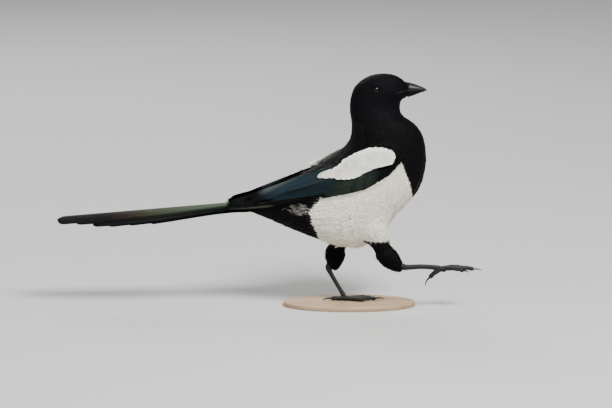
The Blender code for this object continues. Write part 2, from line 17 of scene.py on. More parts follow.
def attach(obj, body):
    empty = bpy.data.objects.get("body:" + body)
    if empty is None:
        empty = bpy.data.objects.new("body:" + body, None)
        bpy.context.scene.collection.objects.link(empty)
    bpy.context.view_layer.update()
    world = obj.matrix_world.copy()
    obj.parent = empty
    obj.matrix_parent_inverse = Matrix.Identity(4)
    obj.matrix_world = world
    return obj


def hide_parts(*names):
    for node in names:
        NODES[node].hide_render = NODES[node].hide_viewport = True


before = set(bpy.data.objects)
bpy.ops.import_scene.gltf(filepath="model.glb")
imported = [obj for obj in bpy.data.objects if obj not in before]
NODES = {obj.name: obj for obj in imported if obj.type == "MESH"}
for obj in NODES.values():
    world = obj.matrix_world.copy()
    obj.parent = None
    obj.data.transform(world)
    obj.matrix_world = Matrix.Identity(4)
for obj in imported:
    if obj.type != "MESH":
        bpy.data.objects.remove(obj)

MM = 0.001
SHIFT = np.array((2.45, 0.0, 5.3))  # from the bird's own frame to the frame of the solids, in mm
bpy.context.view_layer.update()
CHANCE = np.random.default_rng(7)
SIDES = {"right": -1, "left": 1}  # the sign of y on each side
SIDE_VIEW = [0, 2]  # the columns of a point that the side view shows
MAP_MARGIN = 0.01  # room left at the edges of a map

# How the plumage lies: a place on the side view, the direction there, and the feathers' length
LIE = np.array(
    (
        (146, 237, -1.0, 0.1, 2.8), (141, 246, -0.85, 0.5, 3.0), (128, 250, -1.0, 0.1, 4.0),
        (110, 250, -1.0, -0.1, 5.0), (94, 243, -0.8, -0.6, 5.6), (85, 228, -0.3, -0.95, 6.5),
        (84, 210, -0.05, -1.0, 8.0), (84, 195, -0.2, -1.0, 9.5), (78, 175, -0.6, -0.8, 11.0),
        (60, 158, -0.85, -0.55, 12.0), (30, 140, -0.9, -0.44, 12.5), (0, 124, -0.93, -0.36, 13.5),
        (-25, 112, -0.98, -0.2, 15.0), (128, 236, -1.0, -0.1, 2.8), (114, 242, -1.0, 0.05, 3.4),
        (104, 233, -0.95, -0.35, 4.6), (116, 226, -0.9, -0.45, 3.6), (134, 226, -0.9, -0.4, 2.9),
        (146, 226, -0.95, -0.3, 2.6), (140, 220, -0.6, -0.75, 3.8), (118, 214, -0.4, -0.92, 5.6),
        (143, 205, 0.1, -1.0, 5.8), (155, 196, 0.35, -0.95, 7.0), (118, 195, -0.15, -1.0, 8.0),
        (166, 180, 0.15, -1.0, 8.5), (168, 160, -0.05, -1.0, 9.5), (140, 170, -0.2, -0.98, 9.5),
        (164, 135, -0.25, -0.97, 10.5), (152, 112, -0.4, -0.92, 11.5), (135, 125, -0.55, -0.84, 11.0),
        (138, 95, -0.6, -0.8, 12.0), (118, 72, -0.85, -0.5, 12.5), (105, 100, -0.75, -0.66, 12.5),
        (95, 59, -1.0, -0.05, 12.5), (75, 85, -0.9, -0.4, 13.0), (68, 61, -1.0, 0.15, 13.0),
        (43, 70, -0.93, 0.36, 14.0), (40, 100, -0.97, -0.1, 13.5), (18, 80, -0.91, 0.4, 16.0),
        (-6, 91, -0.93, 0.36, 18.0), (-27, 100, -0.98, 0.15, 18.0),
    )
)

# The axis of the body on the side view, from the root of the tail to the bill
BODY_AXIS = np.array(
    (
        (-40.0, 104.0), (13.6, 104.0), (35.0, 104.0), (77.0, 108.0), (108.0, 134.0), (126.5, 171.0),
        (119.0, 204.0), (112.0, 219.0), (118.0, 231.0), (150.0, 234.0),
    )
)
# The same for the legs, from thigh to ankle, with y as the distance out
LEG_AXES = {
    "right": np.array(((99.0, 21.0, 98.0), (111.0, 20.5, 80.5), (119.0, 19.5, 62.0), (139.5, 17.0, 37.0))),
    "left": np.array(((85.0, 21.0, 96.0), (79.0, 20.0, 76.0), (71.0, 15.5, 56.0), (69.8, 11.3, 33.0))),
}

# The white of belly and flank on the side view
WHITE_FLANK = np.array(
    (
        (139.7, 158.0), (143.0, 150.0), (146.7, 140.5), (149.0, 132.5), (151.5, 124.5), (152.5, 119.0),
        (156.0, 111.0), (150.0, 80.0), (120.0, 45.0), (62.0, 45.0), (54.0, 66.0), (49.5, 79.0),
        (45.0, 89.0), (42.5, 97.0), (41.5, 104.0), (50.0, 116.0), (62.0, 128.0), (96.0, 141.0),
        (122.0, 155.0), (132.0, 160.0),
    )
)
RUMP_DOWN = (31.0, 106.0, 12.0, 6.5)  # a mottled grey patch: x, z and half its length and height
WING_RIDGE = ((-14.0, 123.5), (40.0, 151.5))  # the folded wings' upper edge, along which a grey sheen is painted
# Where the wing's own feathers cover the body
WING_COVER = np.array(
    (
        (117.0, 141.0), (112.0, 137.0), (100.0, 131.0), (84.0, 127.0), (60.0, 121.0),
        (38.0, 117.0), (10.0, 113.0), (-52.0, 103.0), (-52.0, 112.0), (-12.0, 121.0), (10.0, 131.0),
        (32.0, 141.0), (52.0, 145.0), (63.0, 147.0), (74.0, 154.0), (85.0, 161.0), (96.0, 166.0),
        (106.0, 169.5), (113.0, 171.0), (116.0, 156.0),
    )
)
# Where the far shoulder's white feathers show over the back
FAR_COVER = np.array(
    (
        (96.0, 174.0), (66.0, 164.0), (40.0, 153.0), (35.0, 142.0), (62.0, 149.0), (76.0, 156.0),
        (90.0, 166.0),
    )
)
# The folded wing's lower edge
WING_EDGE_X = (-52.0, 10.0, 38.0, 60.0, 84.0, 100.0, 112.0, 128.0, 137.0)
WING_EDGE_Z = (103.0, 112.0, 115.5, 119.5, 124.5, 128.5, 135.0, 145.0, 155.0)


def paint(red, green, blue, gloss=0.0):
    """A colour, with its share of metallic gloss."""
    return np.array((red, green, blue, gloss))


BLACK = paint(0.0020, 0.0020, 0.0025)
HEAD_BLACK = paint(0.0028, 0.0022, 0.0034)
MANTLE = paint(0.0038, 0.0038, 0.0036)
# The belly's and thighs' white, with a cream tint painted in for warm light reflected from grass below
WHITE_WITH_PAINTED_WARM_LIGHT = paint(0.89, 0.845, 0.67)
SCAPULAR_WHITE = paint(0.93, 0.905, 0.80)
DOWN_GREY = paint(0.21, 0.20, 0.175)
# A painted grey sheen for the folded wings' upper edge
RIDGE_PAINTED_SHEEN = paint(0.060, 0.072, 0.072)
LESSER_BLACK = paint(0.0026, 0.0030, 0.0032, 0.03)
COVERT_GREEN = paint(0.021, 0.029, 0.018, 0.42)
SECONDARY_BLUE = paint(0.016, 0.030, 0.042, 0.46)
SECONDARY_TEAL = paint(0.015, 0.025, 0.025, 0.42)
PRIMARY_BLACK = paint(0.0024, 0.0028, 0.0030, 0.02)
COVERT_RIM = paint(0.040, 0.030, 0.020)
TAIL_BASE = paint(0.052, 0.060, 0.040)
TAIL_GREEN = paint(0.028, 0.048, 0.022, 0.40)
TAIL_BRONZE = paint(0.020, 0.020, 0.006, 0.30)
TAIL_PURPLE = paint(0.011, 0.006, 0.005, 0.12)
TAIL_TIP = paint(0.0022, 0.0024, 0.0016)

# The parts of the body that one skin joins, and the solids of each
BODY_REGION, THIGH_RIGHT, THIGH_LEFT, SHANK_RIGHT, SHANK_LEFT, WING_RIGHT, WING_LEFT = range(7)
REGION_NODES = (
    ("trunk", "neck", "head"),
    ("thigh_right",),
    ("thigh_left",),
    ("shank_right",),
    ("shank_left",),
    ("wing_right",),
    ("wing_left",),
)
THIGHS = (THIGH_RIGHT, THIGH_LEFT)
SHANKS = (SHANK_RIGHT, SHANK_LEFT)
WINGS = (WING_RIGHT, WING_LEFT)
LEG_REGIONS = {"right": (THIGH_RIGHT, SHANK_RIGHT), "left": (THIGH_LEFT, SHANK_LEFT)}
THIGH_WHITE = {THIGH_RIGHT: 71.0, THIGH_LEFT: 66.0}  # the heights above which the thighs are white
LEG_LEVELS = (36, 60, 95)  # heights for which the lengths of a leg's feathers are stated
LEG_COAT = (4.0, 8.5, 12.0)  # those of the coat, and then those of the wisps
LEG_WISPS = (5.0, 10.0, 13.0)

# How fine the meshes are, in mm, and how dense the plumage
SKIN_VOXEL = 1.25
LEG_VOXEL = 0.36
BILL_VOXEL = 0.26
CLAW_VOXEL = 0.24
COAT_DENSITY = 1.9  # places tried for each square mm
COAT_SPACING = 0.245  # room between feathers, as a share of their length
COAT_SPACING_LIMITS = (0.95, 3.8)
COAT_THINNED = 1.0  # how much wider that room is
COAT_TILT = 0.09  # the usual turn of a feather to one side, in radians
COAT_REACH = (0.88, 1.15)  # the shortest and the longest, as shares of the length stated there
COAT_WIDTH = (0.50, 0.56)  # of white and of black feathers, as a share of their length
COAT_RISE = (0.12, 0.055)  # how far the tips stand off: at least this, and a share of the length
SHANK_RISE = 4.0  # how much further they do on the shanks
WISP_DENSITY = 0.35
WISP_SPACING = 2.3
WISP_CROSSING = 0.45  # share of its length that a wisp keeps where it crosses two colours
WING_RIM_LENGTH = 7.0  # of the coat's feathers round the edge of the folded wing
SKIN_DEPTH = (0.35, 0.13)  # under the solids: at least this, and a share of the feathers' length
WING_DEPTH = 1.3
SHANK_DEPTH = ((36, 52), (-0.3, -0.2))  # heights, and the depths there: the skin stands out
HIP_BOTTOM = 66.0  # the height down to which the thighs are blended into the body
HIP_SPREAD = 14  # rounds that widen that blend
HIP_SMOOTHING = 60  # rounds that smooth the skin there


# Meshes

def read_all(items, attribute, width=1, kind=float):
    """One attribute of all these items of a mesh, as an array with this many values for each."""
    values = np.empty(len(items) * width, kind)
    items.foreach_get(attribute, values)
    return values.reshape(-1, width) if width > 1 else values


def points_of(mesh):
    """The points of a mesh, in the bird's own frame."""
    return read_all(mesh.vertices, "co", 3) / MM - SHIFT


def normals_of(mesh):
    return read_all(mesh.vertex_normals, "vector", 3)


def edges_of(mesh):
    return read_all(mesh.edges, "vertices", 2, np.int32)


def triangles_of(mesh):
    mesh.calc_loop_triangles()
    return read_all(mesh.loop_triangles, "vertices", 3, np.int32)


def corners_of(mesh):
    """The point at each corner of each face."""
    return read_all(mesh.loops, "vertex_index", 1, np.int32)


def face_sizes(mesh):
    return read_all(mesh.polygons, "loop_total", 1, np.int32)


def node_mesh(names):
    """The points, in the bird's own frame, and the triangles of these solids taken together."""
    points, triangles, count = [], [], 0
    for name in names:
        mesh = NODES[name].data
        points.append(points_of(mesh))
        triangles.append(triangles_of(mesh) + count)
        count += len(mesh.vertices)
    return np.vstack(points), np.vstack(triangles)


def search_tree(points, triangles):
    return BVHTree.FromPolygons(points.tolist(), triangles.tolist())


def tree_of(*names):
    return search_tree(*node_mesh(names))


def side_hit(tree, side, x, z, start=40, reach=60):
    """Where a ray from the side first meets a surface, or None, and the way it faces there."""
    hit, facing, _, _ = tree.ray_cast(Vector((x, side * start, z)), Vector((0, -side, 0)), reach)
    return hit, facing


def in_metres(points):
    return ((points + SHIFT) * MM).astype(np.float32).ravel()


def make_mesh(name, points, faces):
    """A mesh from points and faces that all have the same number of corners."""
    mesh = bpy.data.meshes.new(name)
    mesh.vertices.add(len(points))
    mesh.vertices.foreach_set("co", in_metres(points))
    mesh.loops.add(faces.size)
    mesh.loops.foreach_set("vertex_index", faces.astype(np.int32).ravel())
    mesh.polygons.add(len(faces))
    mesh.polygons.foreach_set("loop_start", np.arange(0, faces.size, faces.shape[1], dtype=np.int32))
    mesh.update(calc_edges=True)
    return mesh


def move_points(mesh, points):
    mesh.vertices.foreach_set("co", in_metres(points))
    mesh.update()


def set_uv(mesh, name, per_corner):
    layer = mesh.uv_layers.new(name=name)
    layer.data.foreach_set("uv", per_corner.astype(np.float32).ravel())


def set_bake_uv(mesh, u, v):
    set_uv(mesh, "OFBake", np.stack([u, v], axis=1))


def in_map(share):
    """A share from 0 to 1, moved inside the margins of the map."""
    return MAP_MARGIN + share * (1 - 2 * MAP_MARGIN)


def set_tint(mesh, colours):
    layer = mesh.color_attributes.new("tint", "FLOAT_COLOR", "POINT")
    layer.data.foreach_set("color", colours.astype(np.float32).ravel())


def shown(name, data):
    """A new object in the scene, with this mesh, lamp or camera."""
    holder = bpy.data.objects.new(name, data)
    bpy.context.scene.collection.objects.link(holder)
    return holder


def add_piece(name, mesh, material, nodes=()):
    """Shows a mesh as a piece of the bird, in place of the given solids."""
    mesh.polygons.foreach_set("use_smooth", np.ones(len(mesh.polygons), bool))
    mesh.materials.append(material)
    piece = shown(name, mesh)
    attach(piece, "root")
    if nodes:
        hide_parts(*nodes)
    return piece


def smoothed(points, edges, rounds, share=0.5):
    """Each point drawn towards the mean of its neighbours."""
    count = np.bincount(edges.ravel(), minlength=len(points))[:, None]
    for _ in range(rounds):
        total = np.zeros_like(points)
        np.add.at(total, edges[:, 0], points[edges[:, 1]])
        np.add.at(total, edges[:, 1], points[edges[:, 0]])
        points = points + (total / np.maximum(count, 1) - points) * share
    return points


def refined(name, nodes, voxel, rounds, grow=0.0):
    """A fine, even mesh over these solids, joined where they meet and rounded off."""
    points, triangles = node_mesh(nodes)
    rough = make_mesh(name + "_rough", points, triangles)
    move_points(rough, points + normals_of(rough) * grow)
    holder = shown(name + "_rough", rough)
    modifier = holder.modifiers.new("even", "REMESH")
    modifier.mode = "VOXEL"
    modifier.voxel_size = voxel * MM
    graph = bpy.context.evaluated_depsgraph_get()
    mesh = bpy.data.meshes.new_from_object(holder.evaluated_get(graph))
    mesh.name = name
    bpy.data.objects.remove(holder, do_unlink=True)
    bpy.data.meshes.remove(rough)
    move_points(mesh, smoothed(points_of(mesh), edges_of(mesh), rounds))
    return mesh


def unwrapped_corners(mesh, around):
    """Per-corner values of a map that wraps at 1, with faces across the join kept whole."""
    value = around[corners_of(mesh)]
    sizes = face_sizes(mesh)
    face = np.repeat(np.arange(len(sizes)), sizes)
    highest = np.full(len(sizes), -1.0)
    np.maximum.at(highest, face, value)
    return np.where((highest[face] - value) > 0.5, value + 1.0, value)


# Places on the body

def unit(vectors):
    return vectors / np.maximum(np.linalg.norm(vectors, axis=-1, keepdims=True), 1e-9)


def eased(share):
    """A share from 0 to 1 that starts and ends gently."""
    share = np.clip(share, 0, 1)
    return share * share * (3 - 2 * share)


def blend(first, second, share):
    """The first colour where the share is 0 or less, and the second where it is 1 or more."""
    share = np.clip(share, 0, 1)[..., None]
    return first * (1 - share) + second * share


def along_path(path, places):
    """The distance along a path to the place nearest each point, the gap from it, and its heading."""
    run = np.zeros(len(places))
    gap = np.full(places.shape, np.inf)
    heading = np.zeros(places.shape)
    before = 0.0
    for start, end in zip(path[:-1], path[1:]):
        length = np.linalg.norm(end - start)
        ahead = (end - start) / length
        offset = places - start
        t = np.clip(offset @ ahead, 0, length)
        here = offset - t[:, None] * ahead
        closer = np.linalg.norm(here, axis=1) < np.linalg.norm(gap, axis=1)
        run[closer] = (before + t)[closer]
        gap[closer] = here[closer]
        heading[closer] = ahead
        before += length
    return run, gap, heading


def along_axis(axis, points):
    """On the side view: the share of an axis's length at each point, and the signed distance to it."""
    run, gap, heading = along_path(axis, points[:, SIDE_VIEW])
    total = np.linalg.norm(np.diff(axis, axis=0), axis=1).sum()
    return run / total, gap[:, 1] * heading[:, 0] - gap[:, 0] * heading[:, 1]


def body_unwrap(points):
    """The body's skin laid out flat: along its axis, and round it from the belly."""
    share, aside = along_axis(BODY_AXIS, points)
    angle = np.arctan2(points[:, 1], -aside) / (2 * pi) + 0.5
    return np.stack([share, angle], axis=1)


def leg_unwrap(points, word):
    """A leg's skin laid out flat: along its axis, and round it."""
    axis = LEG_AXES[word]
    share, aside = along_axis(axis[:, SIDE_VIEW], points)
    out = np.interp(share, (0, 1), (axis[0, 1], axis[-1, 1]))
    angle = np.arctan2(points[:, 1] * SIDES[word] - out, aside) / (2 * pi) + 0.5
    return np.stack([share, angle], axis=1)


def lie_at(points):
    """The direction in which feathers lie, before it is laid on the surface, and their length."""
    gaps = np.linalg.norm(points[:, None, SIDE_VIEW] - LIE[None, :, :2], axis=2)
    weights = 1 / (gaps + 2.0) ** 3
    mixed = weights @ LIE[:, 2:] / weights.sum(axis=1, keepdims=True)
    return np.stack([mixed[:, 0], np.zeros(len(points)), mixed[:, 1]], axis=1), mixed[:, 2]


def leg_direction(points, word):
    """The direction down the leg at each point."""
    axis = LEG_AXES[word] * (1, SIDES[word], 1)
    middles = (axis[1:] + axis[:-1]) / 2
    weights = 1 / (np.linalg.norm(points[:, None] - middles[None], axis=2) + 2) ** 3
    return unit(weights @ unit(np.diff(axis, axis=0)))


def inside(outline, places):
    """Which places on the side view are inside an outline."""
    x, z = places[:, 0], places[:, 1]
    found = np.zeros(len(places), bool)
    for (x1, z1), (x2, z2) in zip(outline, np.roll(outline, -1, axis=0)):
        crosses = (z1 > z) != (z2 > z)
        reach = (x2 - x1) * (z - z1) / (z2 - z1 if z2 != z1 else 1e-9) + x1
        found ^= crosses & (x < reach)
    return found


def wing_edge(x):
    """The height of the folded wing's lower edge."""
    return np.interp(x, WING_EDGE_X, WING_EDGE_Z)


def painted_sheen_share(x, z):
    """How far these places take the grey sheen painted along the folded wing's upper edge, from 0 to 1."""
    (rear, low), (front, high) = WING_RIDGE
    under = low + (x - rear) * (high - low) / (front - rear) - z
    ends = np.clip((x - rear) / 8, 0, 1) * np.clip((front - x) / 12, 0, 1)
    return ends * np.clip((7 - under) / 4, 0, 1)


def marked(points, regions):
    """The colour of skin or feathers that grow at these points."""
    x, z = points[:, 0], points[:, 2]
    colours = np.tile(BLACK, (len(points), 1))
    colours += (HEAD_BLACK - BLACK) * np.clip((z - 190) / 25, 0, 1)[:, None]
    colours[(x < 100) & (z > 120) & (z < 200)] = MANTLE
    wing = np.isin(regions, WINGS)
    body = (regions == BODY_REGION) | (wing & (z < wing_edge(x) + 0.5))
    white = inside(WHITE_FLANK, points[:, SIDE_VIEW]) & body
    colours[white] = WHITE_WITH_PAINTED_WARM_LIGHT
    middle_x, middle_z, half_length, half_height = RUMP_DOWN
    spot = ((x - middle_x) / half_length) ** 2 + ((z - middle_z) / half_height) ** 2 < 1
    mottled = spot & body & ~white
    speck = np.sin(x * 1.9 + z * 1.1) * np.sin(x * 0.8 - z * 2.3)
    colours[mottled] = blend(BLACK, DOWN_GREY, 0.35 + speck[mottled])
    # A grey sheen painted along the folded wing's upper edge
    colours[wing] = blend(colours[wing], RIDGE_PAINTED_SHEEN, painted_sheen_share(x[wing], z[wing]))
    for region, height in THIGH_WHITE.items():
        colours[(regions == region) & (z > height)] = WHITE_WITH_PAINTED_WARM_LIGHT
    return colours


def regions_of(points):
    """Which part of the bird each point is nearest to."""
    trees = [tree_of(*names) for names in REGION_NODES]
    distances = [[tree.find_nearest(point)[3] for point in points.tolist()] for tree in trees]
    return np.array(distances).argmin(axis=0)


# Materials

class Nodes:
    """Short calls that add linked nodes to a material."""

    def __init__(self, name):
        self.material = bpy.data.materials.new(name)
        self.material.use_nodes = True
        self.tree = self.material.node_tree
        self.shader = self.tree.nodes["Principled BSDF"]

    def link(self, value, socket):
        """Joins another node's output to a socket, or sets the socket's own value."""
        if isinstance(value, bpy.types.NodeSocket):
            self.tree.links.new(value, socket)
        else:
            socket.default_value = value

    def add(self, kind, inputs=None, **settings):
        """The outputs of a new node with these settings and inputs."""
        node = self.tree.nodes.new("ShaderNode" + kind)
        for key, value in settings.items():
            setattr(node, key, value)
        for key, value in (inputs or {}).items():
            self.link(value, node.inputs[key])
        return node.outputs

    def math(self, operation, *values):
        return self.add("Math", dict(enumerate(values)), operation=operation)[0]

    def line(self, value, slope, start):
        """The value times the slope, plus the start."""
        return self.math("MULTIPLY_ADD", value, slope, start)

    def noise(self, place, scale, detail=2.0, roughness=0.5):
        inputs = {"Vector": place, "Scale": scale, "Detail": detail, "Roughness": roughness}
        return self.add("TexNoise", inputs)["Fac"]

    def stretched(self, place, scale):
        return self.add("Mapping", {"Vector": place, "Scale": scale})["Vector"]

    def object_place(self):
        return self.add("TexCoord")["Object"]

    def tint(self):
        """The colour that the mesh states at each point, and its share of gloss."""
        outputs = self.add("Attribute", attribute_name="tint")
        return outputs["Color"], outputs["Alpha"]

    def mix(self, factor, first, second):
        return self.add("Mix", {"Factor": factor, "A": first, "B": second}, data_type="RGBA")["Result"]

    def scaled(self, colour, factor):
        return self.add("VectorMath", {0: colour, "Scale": factor}, operation="SCALE")[0]

    def ramp(self, factor, low, high):
        """Goes from the second value of low to that of high, while the factor goes through the first."""
        limits = {"From Min": low[0], "From Max": high[0], "To Min": low[1], "To Max": high[1]}
        return self.add("MapRange", {"Value": factor, **limits}, clamp=True)["Result"]

    def bump(self, height, strength, distance):
        inputs = {"Height": height, "Strength": strength, "Distance": distance}
        self.set(Normal=self.add("Bump", inputs)["Normal"])

    def set(self, **inputs):
        for key, value in inputs.items():
            self.link(value, self.shader.inputs[key.replace("_", " ")])


def feather_material(name, roughness, sheen, barb, depth, uneven_by, specular, translucent=False):
    """Feathers: a tint at each point, barbs at a slant to the shaft, and a little unevenness."""
    nodes = Nodes(name)
    colour, gloss = nodes.tint()
    flat = nodes.add("UVMap", uv_map="vane")[0]
    split = nodes.add("SeparateXYZ", {0: flat})
    aside = nodes.math("ABSOLUTE", split["X"])
    slant = nodes.line(aside, -0.95, split["Y"])
    ridge = nodes.math("SINE", nodes.math("MULTIPLY", slant, 2 * pi / barb))
    clump = nodes.noise(nodes.object_place(), 260.0, 3.0)
    streak = nodes.noise(nodes.stretched(flat, (0.35, 0.06, 1.0)), 4.0)
    shaft = nodes.ramp(aside, (0.06, 1.0), (0.22, 0.0))
    light = nodes.line(streak, uneven_by, nodes.line(clump, uneven_by, 1 - uneven_by))
    light = nodes.line(shaft, -uneven_by * 0.6, nodes.line(ridge, uneven_by * 0.2, light))
    nodes.set(Base_Color=nodes.scaled(colour, light), Metallic=gloss)
    nodes.set(Roughness=nodes.line(clump, 0.16, roughness - 0.08), Specular_IOR_Level=specular)
    nodes.set(Sheen_Weight=sheen, Sheen_Roughness=0.45)
    nodes.bump(nodes.line(shaft, 1.4, ridge), depth, 0.00008)
    if translucent:
        nodes.set(Subsurface_Weight=0.35, Subsurface_Radius=(1.0, 0.95, 0.9), Subsurface_Scale=0.003)
    return nodes.material


def skin_material():
    nodes = Nodes("down_skin")
    down = nodes.noise(nodes.object_place(), 900.0, 4.0, 0.6)
    nodes.set(Base_Color=nodes.scaled(nodes.tint()[0], nodes.ramp(down, (0.25, 0.55), (0.75, 1.0))))
    nodes.set(Roughness=0.85, Specular_IOR_Level=0.05)
    nodes.bump(down, 0.6, 0.0006)
    return nodes.material


def horn_material(name, colour, roughness, specular):
    nodes = Nodes(name)
    place = nodes.object_place()
    streak = nodes.noise(nodes.stretched(place, (120.0, 700.0, 700.0)), 1.0, 3.0)
    fine = nodes.noise(place, 2400.0)
    nodes.set(Base_Color=nodes.scaled(colour, nodes.line(streak, 0.9, 0.55)))
    nodes.set(Roughness=nodes.line(streak, 0.2, roughness - 0.1), Specular_IOR_Level=specular)
    nodes.bump(nodes.line(fine, 0.3, streak), 0.25, 0.0002)
    return nodes.material


def leg_material():
    nodes = Nodes("leg_scales")
    place = nodes.object_place()
    cells = nodes.add("TexVoronoi", {"Vector": place, "Scale": 1100.0}, feature="DISTANCE_TO_EDGE")
    crease = nodes.ramp(cells["Distance"], (0.0, 0.0), (0.12, 1.0))
    dust = nodes.noise(place, 420.0, 3.0)
    light = nodes.line(crease, 0.25, nodes.line(dust, 0.7, 0.45))
    nodes.set(Base_Color=nodes.scaled(nodes.tint()[0], light))
    nodes.set(Roughness=nodes.line(dust, 0.2, 0.40), Specular_IOR_Level=0.3)
    nodes.bump(crease, 0.35, 0.00012)
    return nodes.material


def eye_material():
    nodes = Nodes("wet_eye")
    fibres = nodes.noise(nodes.object_place(), 1500.0, 3.0)
    nodes.set(Base_Color=nodes.scaled(nodes.tint()[0], nodes.line(fibres, 0.8, 0.6)))
    nodes.set(Roughness=0.06, Specular_IOR_Level=0.2)
    return nodes.material


def wood_material():
    nodes = Nodes("plain_wood")
    place = nodes.object_place()
    bend = nodes.noise(nodes.stretched(place, (9.0, 30.0, 30.0)), 1.0, 3.0)
    rings = nodes.noise(nodes.stretched(place, (14.0, 260.0, 260.0)), 1.0, 4.0, 0.6)
    grain = nodes.noise(nodes.stretched(place, (60.0, 1500.0, 1500.0)), 1.0)
    tone = nodes.line(bend, 0.5, nodes.math("MULTIPLY", rings, 0.7))
    share = nodes.ramp(tone, (0.40, 0.0), (0.78, 1.0))
    colour = nodes.mix(share, (0.50, 0.36, 0.22, 1), (0.34, 0.215, 0.12, 1))
    nodes.set(Base_Color=nodes.scaled(colour, nodes.line(grain, 0.24, 0.88)), Roughness=0.45)
    nodes.bump(grain, 0.2, 0.0001)
    return nodes.material


def floor_material():
    nodes = Nodes("pale_floor")
    cloud = nodes.noise(nodes.object_place(), 1.6)
    nodes.set(Base_Color=nodes.mix(cloud, (0.54, 0.54, 0.53, 1), (0.58, 0.58, 0.57, 1)))
    nodes.set(Roughness=0.85)
    return nodes.material


# Feathers on the body

# The grid of one kind of feather: shares along it and across it, and its width at each row
Coat = namedtuple("Coat", "rows columns outline")
VANE = Coat(
    rows=np.array((0.0, 0.25, 0.5, 0.72, 0.88, 1.0)),
    columns=np.array((-1.0, -0.5, 0.0, 0.5, 1.0)),
    outline=np.array((0.35, 0.72, 1.0, 0.96, 0.76, 0.42)),
)
WISP = Coat(
    rows=np.array((0.0, 0.3, 0.6, 0.85, 1.0)),
    columns=np.array((-1.0, 0.0, 1.0)),
    outline=np.array((0.7, 1.0, 0.8, 0.5, 0.16)),
)
UV_PATCH = 0.003  # the size of one feather's patch in the map
VANE_ARCH = 0.45  # how high a vane's middle stands, as a share of its tip's rise
VANE_CURL = 0.28  # how far its edges turn down, as a share of half its width
VANE_ROUND = 0.16  # how much shorter its edges are, as a share of its length
VANE_PULL = np.array((0.15, 0.45, 1.0))  # how much its last three rows take of an uneven end


def spread(points, spacing):
    """Indices of points picked so that none is nearer to another than the spacing there."""
    tree = KDTree(len(points))
    for index, point in enumerate(points.tolist()):
        tree.insert(point, index)
    tree.balance()
    alive = np.ones(len(points), bool)
    chosen = []
    for index, point in enumerate(points.tolist()):
        if not alive[index]:
            continue
        chosen.append(index)
        for _, near, _ in tree.find_range(point, spacing[index]):
            alive[near] = False
    return np.array(chosen)


def scattered(mesh, density):
    """Random places on a mesh, so many for each square mm, with their normals and a nearby point."""
    points, normals, corners = points_of(mesh), normals_of(mesh), triangles_of(mesh)
    a, b, c = (points[corners[:, i]] for i in range(3))
    areas = np.linalg.norm(np.cross(b - a, c - a), axis=1) / 2
    count = int(areas.sum() * density)
    face = CHANCE.choice(len(corners), count, p=areas / areas.sum())
    first, second = CHANCE.random(count) ** 0.5, CHANCE.random(count)
    weights = np.stack([1 - first, first * (1 - second), first * second], axis=1)
    place = np.einsum("nk,nkd->nd", weights, points[corners[face]])
    facing = np.einsum("nk,nkd->nd", weights, normals[corners[face]])
    return place, facing / np.linalg.norm(facing, axis=1)[:, None], corners[face][:, 0]


Growth = namedtuple("Growth", "points normals directions length region")


def growing(skin, regions, density, leg_lengths):
    """Random places on the skin, with the way feathers lie there, their length and the region."""
    points, normals, vertex = scattered(skin.data, density)
    region = regions[vertex]
    directions, length = lie_at(points)
    for word, pair in LEG_REGIONS.items():
        here = np.isin(region, pair)
        directions[here] = leg_direction(points[here], word)
        length[here] = np.interp(points[here, 2], LEG_LEVELS, leg_lengths)
    return Growth(points, normals, directions, length, region)


def picked(chosen, grown):
    """The chosen ones of these places."""
    return Growth(*(row[chosen] for row in grown))


def vanes(coat, roots, normals, directions, length, width, rise, surface, sway=0.12, rag=0.1):
    """Points of many vanes that lie along the surface: (vane, row, column, 3), and their flat places."""
    directions = unit(directions - normals * np.sum(directions * normals, axis=1)[:, None])
    middle = roots + directions * (length * 0.5)[:, None]
    tips = roots + directions * length[:, None]
    tip_normals = np.empty_like(normals)
    for index, point in enumerate(tips.tolist()):
        near, facing, _, _ = surface.find_nearest(point)
        tips[index] = near
        tip_normals[index] = facing
    flip = np.sum(tip_normals * normals, axis=1) < 0
    tip_normals[flip] = normals[flip]
    tips = tips + tip_normals * rise[:, None]
    middle = middle + normals * (rise * VANE_ARCH)[:, None]
    rows, columns = coat.rows, coat.columns
    t = rows[None, :, None]
    centre = roots[:, None] * (1 - t) ** 2 + 2 * middle[:, None] * t * (1 - t) + tips[:, None] * t**2
    facing = unit(normals[:, None] * (1 - t) + tip_normals[:, None] * t)
    ahead = unit(np.gradient(centre, axis=1))
    side = unit(np.cross(facing, ahead))
    count = len(roots)
    bend = CHANCE.normal(0, sway, count)[:, None, None, None] * length[:, None, None, None]
    s = columns[None, None, :, None]
    half = (width[:, None] * coat.outline[None] / 2)[:, :, None, None]
    points = centre[:, :, None] + side[:, :, None] * (s * half + bend * t[..., None] ** 2)
    points = points - facing[:, :, None] * (s**2 * half * VANE_CURL)
    torn = CHANCE.normal(0, rag, (count, len(columns))) - VANE_ROUND * columns**2
    pull = (rows[-3:] ** 2 * VANE_PULL)[None, :, None] * torn[:, None]
    points[:, -3:] += ahead[:, -3:, None] * (pull * length[:, None, None])[..., None]
    across = np.broadcast_to(s[..., 0] * half[..., 0], points.shape[:3])
    down = np.broadcast_to(t * length[:, None, None], points.shape[:3])
    return points, across, down


def grid_faces(count, rows, columns):
    """Quads over that many separate grids, facing the side that the columns turn to."""
    index = np.arange(rows * columns).reshape(rows, columns)
    quads = np.stack([index[:-1, :-1], index[:-1, 1:], index[1:, 1:], index[1:, :-1]], axis=-1)
    quads = quads.reshape(-1, 4)[:, ::-1]
    return (quads[None] + np.arange(count)[:, None, None] * rows * columns).reshape(-1, 4)


